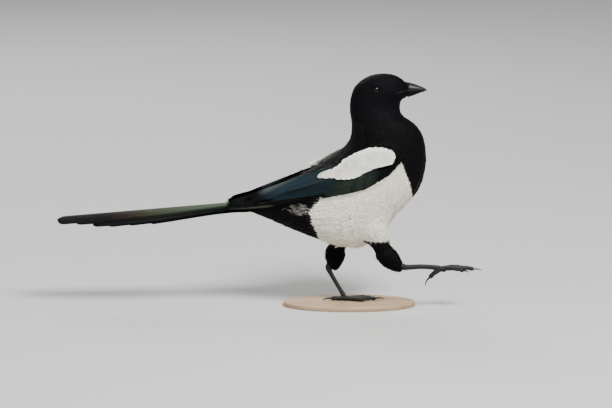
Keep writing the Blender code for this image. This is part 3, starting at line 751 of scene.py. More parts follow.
def add_vanes(name, coat, laid, colours, places, material):
    """One piece from many vanes, each with a small patch of the map at its root's place."""
    points, across, down = laid
    faces = grid_faces(*points.shape[:3])
    mesh = make_mesh(name, points.reshape(-1, 3), faces)
    corners = faces.ravel()
    low, high = places.min(axis=0), places.max(axis=0)
    centre = in_map((places - low) / np.maximum(high - low, 1e-9))
    patch = np.stack(np.meshgrid(coat.columns / 2, coat.rows - 0.5), axis=-1)
    uv = np.clip(centre[:, None, None] + patch * UV_PATCH, 0, 1).reshape(-1, 2)
    set_uv(mesh, "OFBake", uv[corners])
    flat = np.stack([across, down], axis=-1).reshape(-1, 2)
    set_uv(mesh, "vane", flat[corners])
    set_tint(mesh, colours.reshape(-1, 4))
    return add_piece(name, mesh, material)


def markings_on(shape, middles, regions):
    """The markings at each point of each vane, drawn part of the way towards the vane's middle."""
    count, rows, columns = shape.shape[:3]
    places = shape * 0.8 + middles[:, None, None] * 0.2
    tinted = marked(places.reshape(-1, 3), np.repeat(regions, rows * columns))
    return tinted.reshape(count, rows, columns, 4)


def shaded(colours, coat, difference):
    """Colours of vanes, as one for each or one for each of their points, with a little difference."""
    tone = 1 + CHANCE.normal(0, difference, len(colours)).clip(-0.3, 0.3)
    root_shade = 0.88 + 0.12 * np.clip(coat.rows * 2.0, 0, 1)
    if colours.ndim == 2:
        colours = colours[:, None, None] * np.ones((1, len(coat.rows), len(coat.columns), 1))
    tinted = colours.copy()
    tinted[..., :3] *= (tone[:, None] * root_shade)[:, :, None, None]
    return tinted


def build_skin():
    """One skin inside the solids of the flesh, by the depth of the coat over it; and its regions."""
    names = [name for group in REGION_NODES for name in group]
    mesh = refined("skin", names, SKIN_VOXEL, 3, grow=0.3)
    points, edges = points_of(mesh), edges_of(mesh)
    regions = regions_of(points)
    hips = np.isin(regions, THIGHS).astype(float)[:, None]
    hips = np.clip(smoothed(hips, edges, HIP_SPREAD) * 2.5, 0, 1)
    hips[points[:, 2] < HIP_BOTTOM] = 0
    hips = smoothed(hips, edges, 3)
    points = points + (smoothed(points, edges, HIP_SMOOTHING) - points) * hips
    move_points(mesh, points)
    least, share = SKIN_DEPTH
    depth = least + lie_at(points)[1] * share
    shank = np.isin(regions, SHANKS)
    depth[shank] = np.interp(points[shank, 2], *SHANK_DEPTH)
    depth[np.isin(regions, WINGS)] = WING_DEPTH
    depth = smoothed(depth[:, None], edges, 6)
    points = smoothed(points - normals_of(mesh) * depth, edges, 2)
    move_points(mesh, points)
    set_tint(mesh, smoothed(marked(points, regions), edges, 1))
    corners = corners_of(mesh)
    flat = body_unwrap(points)
    u = in_map(flat[corners, 0])
    v = 0.01 + unwrapped_corners(mesh, flat[:, 1]) * 0.70
    for word, pair in LEG_REGIONS.items():
        here = np.isin(regions, pair)[corners]
        places = leg_unwrap(points, word)[corners[here]]
        u[here] = (0.01 if word == "right" else 0.51) + places[:, 0] * 0.46
        v[here] = 0.80 + places[:, 1] * 0.18
    set_bake_uv(mesh, u, np.clip(v, 0, 1))
    return add_piece("skin", mesh, skin_material(), names), regions


def coat_places(skin, regions):
    """Where the coat's feathers grow: not under the wing's own feathers, and not on the eyes."""
    grown = growing(skin, regions, COAT_DENSITY, LEG_COAT)
    points, normals, _, length, region = grown
    places = points[:, SIDE_VIEW]
    wing = np.isin(region, WINGS)
    covered = inside(WING_COVER, places) & (np.abs(points[:, 1]) > 14) & wing
    facing_out = np.sign(points[:, 1]) * normals[:, 1] > 0.1
    eye = np.linalg.norm(np.abs(points) - (EYE_X, EYE_OUT, EYE_Z), axis=1)
    length[wing & ~covered] = WING_RIM_LENGTH
    # The wing's inner side, its lower edge, the far shoulder and the eyes stay bare, too
    keep = ~(covered & facing_out)
    keep &= ~(wing & ~facing_out & (points[:, 0] < 20))
    keep &= ~(wing & (np.abs(points[:, 2] - wing_edge(points[:, 0]) - 2.0) < 2.0))
    keep &= ~(inside(FAR_COVER, places) & (points[:, 1] > 7))
    keep &= eye > EYE_RADIUS + 0.4
    grown = picked(keep, grown)
    spacing = np.clip(grown.length * COAT_SPACING, *COAT_SPACING_LIMITS) * COAT_THINNED
    return picked(spread(grown.points, spacing), grown)


def build_coat(skin, regions, surface, material, white_material):
    """The body's feathers, in pieces that each cover one part."""
    points, normals, directions, length, region = coat_places(skin, regions)
    count = len(points)
    tilt = CHANCE.normal(0, COAT_TILT, count)
    directions = unit(directions) + np.cross(normals, unit(directions)) * tilt[:, None]
    reach = length * CHANCE.uniform(*COAT_REACH, count)
    middles = points + unit(directions) * (reach * 0.4)[:, None]
    white = marked(middles, region)[:, 0] > 0.5
    width = reach * np.where(white, *COAT_WIDTH)
    least, share = COAT_RISE
    rise = (least + length * share) * CHANCE.uniform(0.8, 1.2, count)
    shank = np.isin(region, SHANKS)
    rise[shank] *= SHANK_RISE
    free = np.ones(count, bool)
    for name, mask in (
        ("coat_head", (points[:, 2] > 212) & ~white),
        ("coat_neck", (points[:, 2] > 150) & (points[:, 0] > 83) & ~white),
        ("coat_legs", shank),
        ("coat_belly", white),
        ("coat_body", free),
    ):
        mask = mask & free
        free = free & ~mask
        rows = (row[mask] for row in (points, normals, directions, reach, width, rise))
        laid = vanes(VANE, *rows, surface)
        tinted = markings_on(laid[0], middles[mask], region[mask])
        tinted = shaded(tinted, VANE, 0.02 if name == "coat_belly" else 0.10)
        look = white_material if name == "coat_belly" else material
        add_vanes(name, VANE, laid, tinted, body_unwrap(points[mask]), look)


def build_wisps(skin, regions, surface, material, dark):
    """Loose, downy barbs that soften the belly, thighs, vent and breast."""
    grown = growing(skin, regions, WISP_DENSITY, LEG_WISPS)
    grown = picked((grown.points[:, 2] < 128) & ~np.isin(grown.region, WINGS), grown)
    grown = picked(spread(grown.points, np.full(len(grown.points), WISP_SPACING)), grown)
    colours = marked(grown.points, grown.region)
    ends = marked(grown.points + unit(grown.directions) * grown.length[:, None], grown.region)
    change = np.abs(ends[:, 0] - colours[:, 0])
    grown.length[change > 0.1] *= WISP_CROSSING
    keep = (change < 0.1) | (grown.points[:, 2] < 72)
    colours = colours[keep]
    points, normals, directions, length, region = picked(keep, grown)
    on_leg = np.isin(region, THIGHS + SHANKS)
    low_edge = np.clip((84 - points[:, 2]) / 22, 0, 1)
    fluff = 0.25 + length * (0.02 + 0.13 * np.maximum(low_edge, on_leg * 0.8))
    white = colours[:, 0] > 0.1
    for name, mask, look, slot in (
        ("down_white", white, material, "white_feather"),
        ("down_black", ~white, dark, "black_feather"),
    ):
        count = mask.sum()
        reach = length[mask] * CHANCE.uniform(0.9, 1.25, count)
        width = CHANCE.uniform(0.8, 1.5, count)
        rise = fluff[mask] * CHANCE.uniform(0.5, 1.3, count)
        rows = (row[mask] for row in (points, normals, directions))
        laid = vanes(WISP, *rows, reach, width, rise, surface, sway=0.10)
        tinted = shaded(colours[mask], WISP, 0.08)
        add_vanes(name, WISP, laid, tinted, body_unwrap(points[mask]), look)


BRISTLES = 260
BRISTLE_X = (135.0, 145.0)
BRISTLE_Z, BRISTLE_LIFT = 232.5, 11.0  # the height of the lowest, and how much higher they go
BRISTLE_WIDTH = 0.95
BRISTLE_RISE = 0.6


def build_bristles(material):
    """Stiff feathers over the nostrils, along the root of the bill."""
    bill = tree_of("bill_upper", "bill_lower", "head")
    rows = []
    for index in range(BRISTLES):
        side = -1 if index % 2 else 1
        lift = CHANCE.uniform(0, 1)
        x = CHANCE.uniform(*BRISTLE_X)
        hit, facing = side_hit(bill, side, x, BRISTLE_Z + BRISTLE_LIFT * lift)
        if hit is None:
            continue
        heading = (1.0, -0.06 * side, -0.10 - 0.35 * (lift - 0.5) + CHANCE.normal(0, 0.08))
        length = CHANCE.uniform(9.5, 13.5) if lift > 0.25 else CHANCE.uniform(6.0, 8.5)
        rows.append((np.array(hit) - np.array(facing) * 0.3, np.array(facing), heading, length))
    roots, normals, directions, lengths = (np.array(row) for row in zip(*rows))
    width, rise = (np.full(len(roots), size) for size in (BRISTLE_WIDTH, BRISTLE_RISE))
    laid = vanes(WISP, roots, normals, directions, lengths, width, rise, bill, sway=0.05, rag=0.05)
    tinted = shaded(np.tile(BLACK, (len(roots), 1)), WISP, 0.1)
    add_vanes("nasal_bristles", WISP, laid, tinted, roots[:, SIDE_VIEW], material)


# Wing feathers

Map = namedtuple("Map", "x z step out")
MAP_STEP = 1.5
BODY_COVER = 0.2  # how far over the body the map lies beyond the wing
MAP_FILLING = 160  # rounds that carry the known heights into the gaps
MAP_SMOOTHING = 3


def neighbour_mean(values):
    """The mean of each cell's four neighbours."""
    padded = np.pad(values, 1, mode="edge")
    return (padded[:-2, 1:-1] + padded[2:, 1:-1] + padded[1:-1, :-2] + padded[1:-1, 2:]) / 4


def side_map(word):
    """How far out the folded wing's surface lies, over the side view."""
    xs = np.arange(-66, 150, MAP_STEP)
    zs = np.arange(94, 190, MAP_STEP)
    found = []
    for tree in (tree_of(f"wing_{word}"), tree_of("trunk", "neck")):
        hits = [[side_hit(tree, SIDES[word], x, z, 200, 200)[0] for z in zs] for x in xs]
        found.append(np.array([[np.nan if hit is None else abs(hit.y) for hit in row] for row in hits]))
    out, body = found
    bare = np.isnan(out) & np.isfinite(body)
    out[bare] = body[bare] + BODY_COVER
    known = ~np.isnan(out)
    filled = np.where(known, out, np.nanmean(out))
    for _ in range(MAP_FILLING):
        filled = np.where(known, out, neighbour_mean(filled))
    for _ in range(MAP_SMOOTHING):
        filled = filled * 0.4 + neighbour_mean(filled) * 0.6
    return Map(xs[0], zs[0], MAP_STEP, filled)


def out_at(grid, x, z):
    """Bilinear reading of the map."""
    i = np.clip((x - grid.x) / grid.step, 0, grid.out.shape[0] - 1.001)
    j = np.clip((z - grid.z) / grid.step, 0, grid.out.shape[1] - 1.001)
    i0, j0 = i.astype(int), j.astype(int)
    fi, fj = i - i0, j - j0
    o = grid.out
    return (
        o[i0, j0] * (1 - fi) * (1 - fj)
        + o[i0 + 1, j0] * fi * (1 - fj)
        + o[i0, j0 + 1] * (1 - fi) * fj
        + o[i0 + 1, j0 + 1] * fi * fj
    )


# One large feather on the side view: its shaft from root to tip, the bow of the shaft, its width,
# the share of the width below the shaft, how pointed it is, its height over the wing and its colours.
Quill = namedtuple("Quill", "root tip bow width lower point level lift colour")
QUILL = Coat(
    rows=1 - (1 - np.linspace(0, 1, 15)) ** 1.5,
    columns=np.linspace(-1, 1, 9),
    outline=None,
)
QUILL_RISING = 0.35  # share of a feather's length over which it comes out of the coat
QUILL_SUNK = 0.8  # how far its root lies under the surface
EDGE_TURN = 9.0  # how far above the folded wing's lower edge it starts to turn in
EDGE_TUCK = 2.6  # how far in it turns there
TUCK_START, TUCK_RUN = 18.0, 30.0  # where along x that begins, and over what length it comes in
QUILL_CURL = 0.010  # how strongly a feather's edges turn down
RAGGED = 0.004  # how uneven its end is, as a share of its length


def quill_outline(rows, point):
    """Width along the feather, as a share of its most."""
    base = 0.4 + 0.6 * eased(rows / 0.22)
    begin = 0.86 - 0.5 * point
    end = np.clip((rows - begin) / (1 - begin), 0, 1)
    taper = np.sqrt(np.clip(1 - end ** (2.2 - 0.5 * point), 0, 1)) * (1 - 0.35 * point * end)
    return base * np.maximum(taper, 0.10)


def uneven_end(coat, amount):
    """Random shifts along a feather for the points of its last two rows, and none for the others."""
    shifts = CHANCE.normal(0, amount, (len(coat.rows), len(coat.columns)))
    shifts[:-2] = 0
    return shifts


def quill_points(quill, grid, side):
    """The feather laid over the wing: its points, and where they are on it."""
    root, tip = np.array(quill.root, float), np.array(quill.tip, float)
    run = tip - root
    length = np.linalg.norm(run)
    ahead = run / length
    up = np.array((ahead[1], -ahead[0]))
    if up[1] < 0:
        up = -up
    t = QUILL.rows[:, None]
    s = QUILL.columns[None]
    width = quill.width * quill_outline(QUILL.rows, quill.point)[:, None]
    across = s * width * np.where(s < 0, quill.lower, 1 - quill.lower)
    bowed = across + quill.bow * 4 * t * (1 - t)
    ragged = uneven_end(QUILL, RAGGED) * length
    x = root[0] + run[0] * t + up[0] * bowed + ahead[0] * ragged
    z = root[1] + run[1] * t + up[1] * bowed + ahead[1] * ragged
    # The feather is stiff, so it takes an even curve over the surface
    out = out_at(grid, x.ravel(), z.ravel())
    a, b = (values.ravel() for values in np.broadcast_arrays(t, across / quill.width))
    basis = np.stack([np.ones_like(a), a, a**2, a**3, b, b * a, b**2], axis=1)
    weights, *_ = np.linalg.lstsq(basis, out, rcond=None)
    rooted = eased(t / QUILL_RISING)
    out = (basis @ weights).reshape(x.shape) + quill.level * rooted - QUILL_SUNK * (1 - rooted)
    out = out + quill.lift * t - QUILL_CURL * np.abs(across) ** 1.5
    # Over the flank the wing's lower edge turns in to the body
    near_edge = np.clip(1 - (z - wing_edge(x)) / EDGE_TURN, 0, 1.3)
    out = out - EDGE_TUCK * near_edge**2 * eased((x - TUCK_START) / TUCK_RUN)
    points = np.stack([x, side * out, z], axis=-1)
    return points, across, np.broadcast_to(t * length, x.shape)


def turned(side, *rows):
    """The grids of a feather, with their columns turned round on the left, so that it faces out."""
    return tuple(row[:, ::-1] if side > 0 else row for row in rows)


def add_feathers(name, coat, parts, places, material):
    """A piece of large feathers, from the points, places on the feather and colours of each."""
    points, across, down, tint = (np.stack(rows) for rows in zip(*parts))
    return add_vanes(name, coat, (points, across, down), tint, np.array(places, float), material)


def add_quills(name, quills, grid, side, material):
    """A piece of quills, each coloured by its own function."""
    parts = []
    for quill in quills:
        points, across, down = quill_points(quill, grid, side)
        t, s = np.broadcast_arrays(QUILL.rows[:, None], QUILL.columns[None])
        tone = 1 + CHANCE.normal(0, 0.06)
        tint = np.array(quill.colour(t, s, points))
        tint[..., :3] *= tone
        parts.append(turned(side, points, across, down, tint))
    add_feathers(name, QUILL, parts, [quill.root for quill in quills], material)


def shares(count):
    """This many even steps from 0 to 1."""
    return [index / (count - 1) for index in range(count)]


def between(first, second, share):
    return tuple(a + (b - a) * share for a, b in zip(first, second))


# Colours of quills, from the share along one, the place across it from -1 to 1, and its points

def secondary_colour(place):
    """The gloss of one secondary, by its place from the lowest, at 1, to the highest."""
    def colour(t, s, points):
        gloss = blend(SECONDARY_TEAL, SECONDARY_BLUE, place + 0.5 * t)
        # Painted shade along each feather's lower edge, where it lies over the next one; towards the rear
        # the feathers are black
        painted_edge_shade = np.clip((-s - 0.78) / 0.2, 0, 1) * 0.9
        gloss = blend(gloss, PRIMARY_BLACK, np.maximum(painted_edge_shade, (10 - points[..., 0]) / 24))
        # A grey sheen painted along the folded wing's upper edge
        return blend(gloss, RIDGE_PAINTED_SHEEN, painted_sheen_share(points[..., 0], points[..., 2]))
    return colour


def primary_colour(t, s, points):
    return blend(PRIMARY_BLACK, COVERT_GREEN, np.clip((-s - 0.1) / 0.5, 0, 1) * 0.06)


def tail_base_colour(t, s, points):
    """The side of the tail that shows under the wing tip."""
    return blend(TAIL_BASE, PRIMARY_BLACK, (np.maximum(1 - t * 3, np.abs(s)) - 0.5) * 2)


def covert_colour(t, s, points):
    gloss = blend(COVERT_GREEN, SECONDARY_TEAL, 0.2 + 0.4 * t)
    # Painted shade towards each covert's edges and tip, where the rows overlap; towards the front the
    # coverts are black
    dark = np.clip((np.maximum(np.abs(s), t) - 0.70) / 0.25, 0, 1) * 0.55
    return blend(gloss, LESSER_BLACK, np.maximum(dark, (points[..., 0] - 101) / 15))


def primary_covert_colour(t, s, points):
    rim = np.clip((-s - 0.7) / 0.3, 0, 1) * 0.6
    return blend(blend(PRIMARY_BLACK, COVERT_GREEN, 0.06 * t), COVERT_RIM, rim)


def scapular_colour(t, s, points):
    # A tenth darker at the root: painted shade where the feathers above overlap it
    return blend(SCAPULAR_WHITE * (0.90, 0.90, 0.90, 1), SCAPULAR_WHITE, t)


def flight_quills():
    """Secondaries over primaries, each partly covered by the one above it."""
    quills = []
    for share in shares(10):
        root = between((94.0, 128.5), (74.0, 131.0), share)
        tip = between((-52.5, 105.6), (-43.0, 113.0), share)
        if share < 0.25:
            tip = between((-32.0, 107.8), (-52.5, 105.6), share / 0.25)
        level = -0.7 + 0.7 * share
        quills.append(Quill(root, tip, -1.0 + 0.6 * share, 9.0, 0.26, 0.75, level, 0.2, primary_colour))
    for share in shares(9):
        root = between((80.0, 134.0), (90.0, 152.5), share)
        tip = between((-30.0, 113.5), (12.0, 126.5), share**1.25)
        bow = -0.6 + 1.1 * share
        colour = secondary_colour(1 - share)
        quills.append(Quill(root, tip, bow, 11.5, 0.36, 0.12, 0.1 + 1.2 * share, 0.25, colour))
    quills.append(Quill((4.0, 109.5), (-47.0, 105.0), 0.6, 7.0, 0.5, 0.6, 0.2, -1.8, tail_base_colour))
    return quills


# The two rows of smaller coverts: where the lowest and the highest grow, and how far they reach
COVERT_ROWS = (((108.0, 135.0), (105.0, 166.0), 23.0), ((117.0, 140.5), (114.0, 170.0), 18.0))


def covert_quills():
    """Primary coverts, greater coverts and two rows of smaller ones, from the lowest up."""
    quills = []
    for share in shares(12):
        root = between((118.0, 142.5), (84.0, 129.5), share)
        tip = between((90.0, 129.5), (40.0, 119.0), share)
        quills.append(Quill(root, tip, -0.6, 6.5, 0.42, 0.5, 0.5 + 0.1 * share, 0.3, primary_covert_colour))
    for share in shares(12):
        slide = CHANCE.normal(0, 1.3)
        root = between((102.0 + slide, 133.5), (108.0 + slide, 162.0), share)
        tip = between((57.0 + slide, 121.0), (84.0 + slide, 149.0), share)
        quills.append(Quill(root, tip, 0.6, 8.5, 0.42, 0.3, 0.7 + 0.7 * share, 0.55, covert_colour))
    for row, (low, high, reach) in enumerate(COVERT_ROWS):
        for share in shares(13):
            root = between(low, high, share)
            slide = CHANCE.normal(0, 1.1) + reach * (1.0 - 0.5 * share)
            tip = (root[0] - slide, root[1] - reach * (0.42 - 0.1 * share))
            level = 1.0 + row * 0.15 + 0.4 * share
            quills.append(Quill(root, tip, 0.3, 7.5, 0.48, 0.25, level, 0.5, covert_colour))
    return quills


# White feathers of the shoulder: the upper and lower edge of the patch, from its front to its rear
SCAPULAR_UPPER = (
    (134.0, 163.5), (129.5, 168.0), (120.0, 173.0), (107.0, 173.0), (95.5, 169.5), (85.0, 163.5),
    (74.0, 154.0), (63.0, 147.6), (50.0, 145.4),
)
SCAPULAR_LOWER = (
    (130.0, 160.5), (124.0, 157.0), (115.0, 153.7), (106.5, 151.5), (98.0, 147.0), (90.0, 142.7),
    (79.5, 142.0), (68.5, 143.4), (57.5, 145.0),
)
SCAPULAR_INSET = 3.2  # how far inside those edges the middles of the feathers lie
SCAPULAR_STEPS = 15
SCAPULAR_LEAN = (-0.93, -0.36)
FAR_SCAPULARS = (((88.0, 163.5), (64.5, 151.0)), ((66.0, 159.5), (39.5, 147.5)))


def scapular_quills(side):
    """The shoulder's feathers; the left ones also show over the back."""
    quills = []
    if side > 0:
        for share in shares(8):
            root = between(*FAR_SCAPULARS[0], share)
            tip = between(*FAR_SCAPULARS[1], share)
            quills.append(Quill(root, tip, 0.8, 7.0, 0.5, 0.3, 2.4, 0.8, scapular_colour))
    upper, lower = np.array(SCAPULAR_UPPER), np.array(SCAPULAR_LOWER)
    for step in shares(SCAPULAR_STEPS):
        along = 0.12 + 0.83 * step
        place = along * (len(upper) - 1)
        cell = min(int(place), len(upper) - 2)
        top, low = (np.array(between(row[cell], row[cell + 1], place - cell)) for row in (upper, lower))
        height = np.linalg.norm(top - low)
        inset = min(SCAPULAR_INSET / height, 0.48)
        reach = 11.0 + 9.0 * along
        heading = np.array(SCAPULAR_LEAN if along > 0.3 else (-0.97, -0.25 + 0.3 * (0.3 - along)))
        level = 2.5 + 0.4 * (1 - along)
        width = min(7.4, 0.6 + height * 0.55)
        for share in shares(5):
            middle = low + (top - low) * (inset + (1 - 2 * inset) * share)
            middle = middle + CHANCE.normal(0, 0.4, 2)
            root = middle - heading * reach * 0.5
            tip = middle + heading * reach * 0.5
            quills.append(Quill(root, tip, 0.5, width, 0.5, 0.25, level, 0.6, scapular_colour))
    return quills


# The tail

TAIL_FRONT = -27.8
TAIL_LENGTH = 205.4
TAIL_RIDGE = (110.6, 93.2)
TAIL_HALF = (13.5, 22.0)
TAIL_SLOPE = tan(radians(30))
TAIL_ENDS = (1.0, 0.90, 0.81, 0.73, 0.62, 0.50)  # where each pair ends, from the middle outwards
TAIL_INSETS = (9.0, 7.0, 3.0, 1.8, 0.9, 0.0)  # how far each pair's edge lies inside the widest
TAIL_ROOT = -0.11
TAIL_THICKNESS = (11.0, 0.9)
TAIL_TIP_LENGTH = 8.0  # how far from its end a tail feather starts to round off
TAIL_TIP_BEND = 2.6  # how far down its end curls
FEATHER_WIDTH = 24.0
TAIL_QUILL = Coat(
    rows=1 - (1 - np.linspace(0, 1, 24)) ** 2.2,
    columns=np.linspace(-1, 1, 11),
    outline=None,
)
# Each colour of the tail's gloss, where it starts and over what share of the tail it comes in
TAIL_GLOSS = ((TAIL_BRONZE, 0.28, 0.25), (TAIL_PURPLE, 0.52, 0.12), (TAIL_TIP, 0.64, 0.10))
TAIL_RAGGED = 0.0016


def tail_height(share, out):
    ridge = TAIL_RIDGE[0] + (TAIL_RIDGE[1] - TAIL_RIDGE[0]) * share
    slope = TAIL_SLOPE * np.minimum(0.4 + share * 1.05, 1.15)
    return ridge - (np.hypot(out, 3.0) - 3.0) * slope


def tail_feather(pair, side, depth):
    """One tail feather: its outer edge shows, and the rest lies under its neighbours."""
    end = TAIL_ENDS[pair]
    t = TAIL_QUILL.rows[:, None]
    s = TAIL_QUILL.columns[None]
    share = TAIL_ROOT + (end - TAIL_ROOT) * t
    left = np.clip((1 - t) * (end - TAIL_ROOT) * TAIL_LENGTH / TAIL_TIP_LENGTH, 0, 1)
    outline = np.maximum(np.sqrt(1 - (1 - left) ** 2), 0.25)
    opening = TAIL_HALF[0] + (TAIL_HALF[1] - TAIL_HALF[0]) * eased(share / 0.5)
    shrink = opening / TAIL_HALF[1]
    width = FEATHER_WIDTH * shrink
    lower = 0.5 if pair == 0 else 0.34
    across = s * width * np.where(s > 0, lower, 1 - lower) * outline
    out = opening - TAIL_INSETS[pair] * shrink - width * lower + across
    share = share + uneven_end(TAIL_QUILL, TAIL_RAGGED)
    x = TAIL_FRONT - TAIL_LENGTH * share
    front, rear = TAIL_THICKNESS
    thick = front + (rear - front) * np.clip(share, 0, 1) ** 0.6
    level = depth * thick * (1 - 0.35 * np.clip(np.abs(out) / opening, 0, 1) ** 4)
    droop = 0.12 * thick * np.clip(s, 0, 1) ** 3
    z = tail_height(share, out) - level - droop - TAIL_TIP_BEND * (1 - left) ** 2
    points = np.stack([x, side * out, z], axis=-1)
    tint = TAIL_GREEN
    for colour, start, run in TAIL_GLOSS:
        tint = blend(tint, colour, (share - start) / run)
    tint = blend(tint, PRIMARY_BLACK, (np.abs(np.broadcast_to(s, out.shape)) - 0.80) / 0.14)
    tint = blend(tint, PRIMARY_BLACK, np.full(out.shape, 0.55 * pair))
    return turned(side, points, across, np.broadcast_to(t * TAIL_LENGTH * end, out.shape), tint)


def build_tail(material):
    parts, places = [], []
    for pair in range(len(TAIL_ENDS)):
        for side in SIDES.values():
            parts.append(tail_feather(pair, side, (pair + (0.5 if side > 0 else 0.0)) / 5.5))
            places.append((pair, side * (1 + pair)))
    piece = add_feathers("tail_feathers", TAIL_QUILL, parts, places, material)
    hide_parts("tail")


# Eyes, bill, legs and base

EYE_RADIUS = 4.7
EYEBALL_RADIUS = 0.97 * EYE_RADIUS
EYE_X, EYE_OUT, EYE_Z = 112.8, 13.3, 234.1
EYE_BANDS, EYE_SIDES = 40, 64
EYE_OPENING = 0.004  # the angle left open at the outer and the inner end of the eyeball
PUPIL_ANGLE = 0.56  # from the eye's middle, in radians
LID_STEPS, LID_SIDES = 72, 10
LID_RADIUS = 4.05
LID_HALF = 0.42  # half the thickness of its rim
LID_OUT = 2.35  # how far it lies outside the middle of the eye
# The line of the mouth behind the bill, as places on the side view and half its thickness
GAPE = (
    (134.0, 230.8, 0.12), (136.5, 231.3, 0.35), (139.5, 231.9, 0.50), (143.0, 232.5, 0.60),
    (147.5, 233.2, 0.50),
)
GAPE_SIDES = 10
BILL_ROOT_X = 147.0
BILL_HIDDEN = 6.0  # how far the bill's root reaches back under the feathers
BILL_ROOT_RUN = 2.0  # over what length it starts to do so
BILL_ROOT_SLIMMER = 0.12  # how much narrower it is there, as a share of its width
PUPIL = paint(0.001, 0.001, 0.001)
IRIS = paint(0.006, 0.0035, 0.002)
LID = paint(0.0035, 0.0035, 0.0040)
LEG_GREY = paint(0.0055, 0.0052, 0.0048)
LEG_PALE = paint(0.022, 0.019, 0.016)


def ring(middle, first, second, sides):
    """Points round an oval, from its middle and the two arrows that reach its edge."""
    turn = (2 * pi * np.arange(sides) / sides)[:, None]
    return np.array(middle) + np.cos(turn) * np.array(first) + np.sin(turn) * np.array(second)


def ring_mesh(name, rings, flip=False):
    """A mesh of the quads between these rings."""
    rings = np.asarray(rings)
    count, sides = rings.shape[:2]
    first = np.arange(count * sides).reshape(count, sides)
    after = np.roll(first, -1, axis=1)
    faces = np.stack([first[:-1], after[:-1], after[1:], first[1:]], axis=-1).reshape(-1, 4)
    return make_mesh(name, rings.reshape(-1, 3), faces[:, ::-1] if flip else faces)


def ring_places(mesh, count, sides):
    """Where each corner lies along the rings, and round them, as places in the map."""
    along = np.repeat(np.arange(count) / (count - 1), sides)[corners_of(mesh)]
    around = unwrapped_corners(mesh, np.tile(np.arange(sides) / sides, count)) / (1 + 1 / sides)
    return in_map(along), in_map(around)


def build_eye(word, material):
    rings, tints = [], []
    for share in shares(EYE_BANDS + 1):
        angle = EYE_OPENING + (pi - 2 * EYE_OPENING) * share
        middle = (EYE_X, SIDES[word] * (EYE_OUT + EYEBALL_RADIUS * cos(angle)), EYE_Z)
        radius = EYEBALL_RADIUS * sin(angle)
        rings.append(ring(middle, (radius, 0, 0), (0, 0, radius), EYE_SIDES))
        tints.append(np.tile(PUPIL if angle < PUPIL_ANGLE else IRIS, (EYE_SIDES, 1)))
    mesh = ring_mesh(f"eyeball_{word}", rings, flip=SIDES[word] < 0)
    set_tint(mesh, np.vstack(tints))
    along, around = ring_places(mesh, EYE_BANDS + 1, EYE_SIDES)
    set_bake_uv(mesh, around, along)
    add_piece(f"eyeball_{word}", mesh, material, [f"eye_{word}"])


def build_lid(word, material):
    """The rim of the lid, which stands round the eye where it meets the head."""
    eye = np.array((EYE_X, SIDES[word] * (EYE_OUT + LID_OUT), EYE_Z))
    rings = []
    for share in shares(LID_STEPS + 1):
        angle = 2 * pi * share
        outwards = np.array((cos(angle), 0.0, sin(angle)))
        middle = eye + outwards * LID_RADIUS * (1 + 0.05 * cos(2 * angle))
        rings.append(ring(middle, outwards * LID_HALF, (0, SIDES[word] * LID_HALF, 0), LID_SIDES))
    mesh = ring_mesh(f"lid_{word}", rings)
    set_tint(mesh, np.tile(LID, (len(mesh.vertices), 1)))
    set_bake_uv(mesh, *ring_places(mesh, LID_STEPS + 1, LID_SIDES))
    add_piece(f"lid_{word}", mesh, material)


def build_bill(horns):
    for half, horn in horns.items():
        mesh = refined(f"bill_{half}_horn", [f"bill_{half}"], BILL_VOXEL, 4, grow=0.12)
        points = points_of(mesh)
        root = np.clip((BILL_ROOT_X - points[:, 0]) / BILL_ROOT_RUN, 0, 1)
        points[:, 0] -= root * BILL_HIDDEN
        points[:, 1] *= 1 - BILL_ROOT_SLIMMER * root
        move_points(mesh, points)
        set_box_uv(mesh)
        add_piece(f"bill_{half}_horn", mesh, horn, [f"bill_{half}"])


def build_gape(word, horn):
    """The fleshy corner of the mouth, which shows between the feathers of cheek and lores."""
    side = SIDES[word]
    tree = tree_of("head", "bill_upper", "bill_lower")
    rings = []
    for x, z, half in GAPE:
        hit, _ = side_hit(tree, side, x, z)
        rings.append(ring((x, hit.y, z), (0, half * side, 0), (0, 0, half * side), GAPE_SIDES))
    mesh = ring_mesh(f"gape_{word}", rings)
    set_box_uv(mesh)
    add_piece(f"gape_{word}", mesh, horn)


def set_box_uv(mesh):
    """A map that lays the six directions of a mesh's faces side by side."""
    points = points_of(mesh)
    places = (points - points.min(axis=0)) / np.ptp(points, axis=0).max()
    normals = read_all(mesh.polygons, "normal", 3)
    main = np.abs(normals).argmax(axis=1)
    sign = (normals[np.arange(len(normals)), main] > 0).astype(int)
    main, sign = (np.repeat(values, face_sizes(mesh)) for values in (main, sign))
    corners = corners_of(mesh)
    u = places[corners, np.where(main == 0, 1, 0)]
    v = places[corners, np.where(main == 2, 1, 2)]
    set_bake_uv(mesh, u * 0.46 + 0.02 + sign * 0.5, v * 0.30 + 0.01 + main * 0.33)


# The middle of each leg below the shank, from its top to the foot, with y as the distance out
TARSUS_AXES = {
    "right": (
        (139.4, 17.1, 42.2), (142.6, 17.1, 40.8), (147.0, 16.9, 40.2), (160.0, 16.6, 41.0),
        (173.0, 16.3, 40.4), (184.0, 16.1, 38.6),
    ),
    "left": (
        (62.6, 11.4, 39.4), (61.2, 10.9, 35.0), (63.4, 9.8, 29.6), (68.8, 7.4, 20.4),
        (74.2, 5.1, 11.4), (79.0, 3.4, 4.0),
    ),
}
PADS = {"right": (185.6, -16.0, 38.2), "left": (80.0, 2.6, 1.75)}
# How far x and z of a normal count towards the front of each leg, where its plates are
LEG_FRONTS = {"right": (0.2, 1.0), "left": (1, 0.3)}
LEG_HALF = 3.4  # what is further from the leg's middle belongs to the toes
SCUTE = 2.7  # length of one plate of the leg
TOE_SCUTE = 1.9
SCUTE_HEIGHT = 0.34
LIFTED_LEG_GROWTH = 0.35


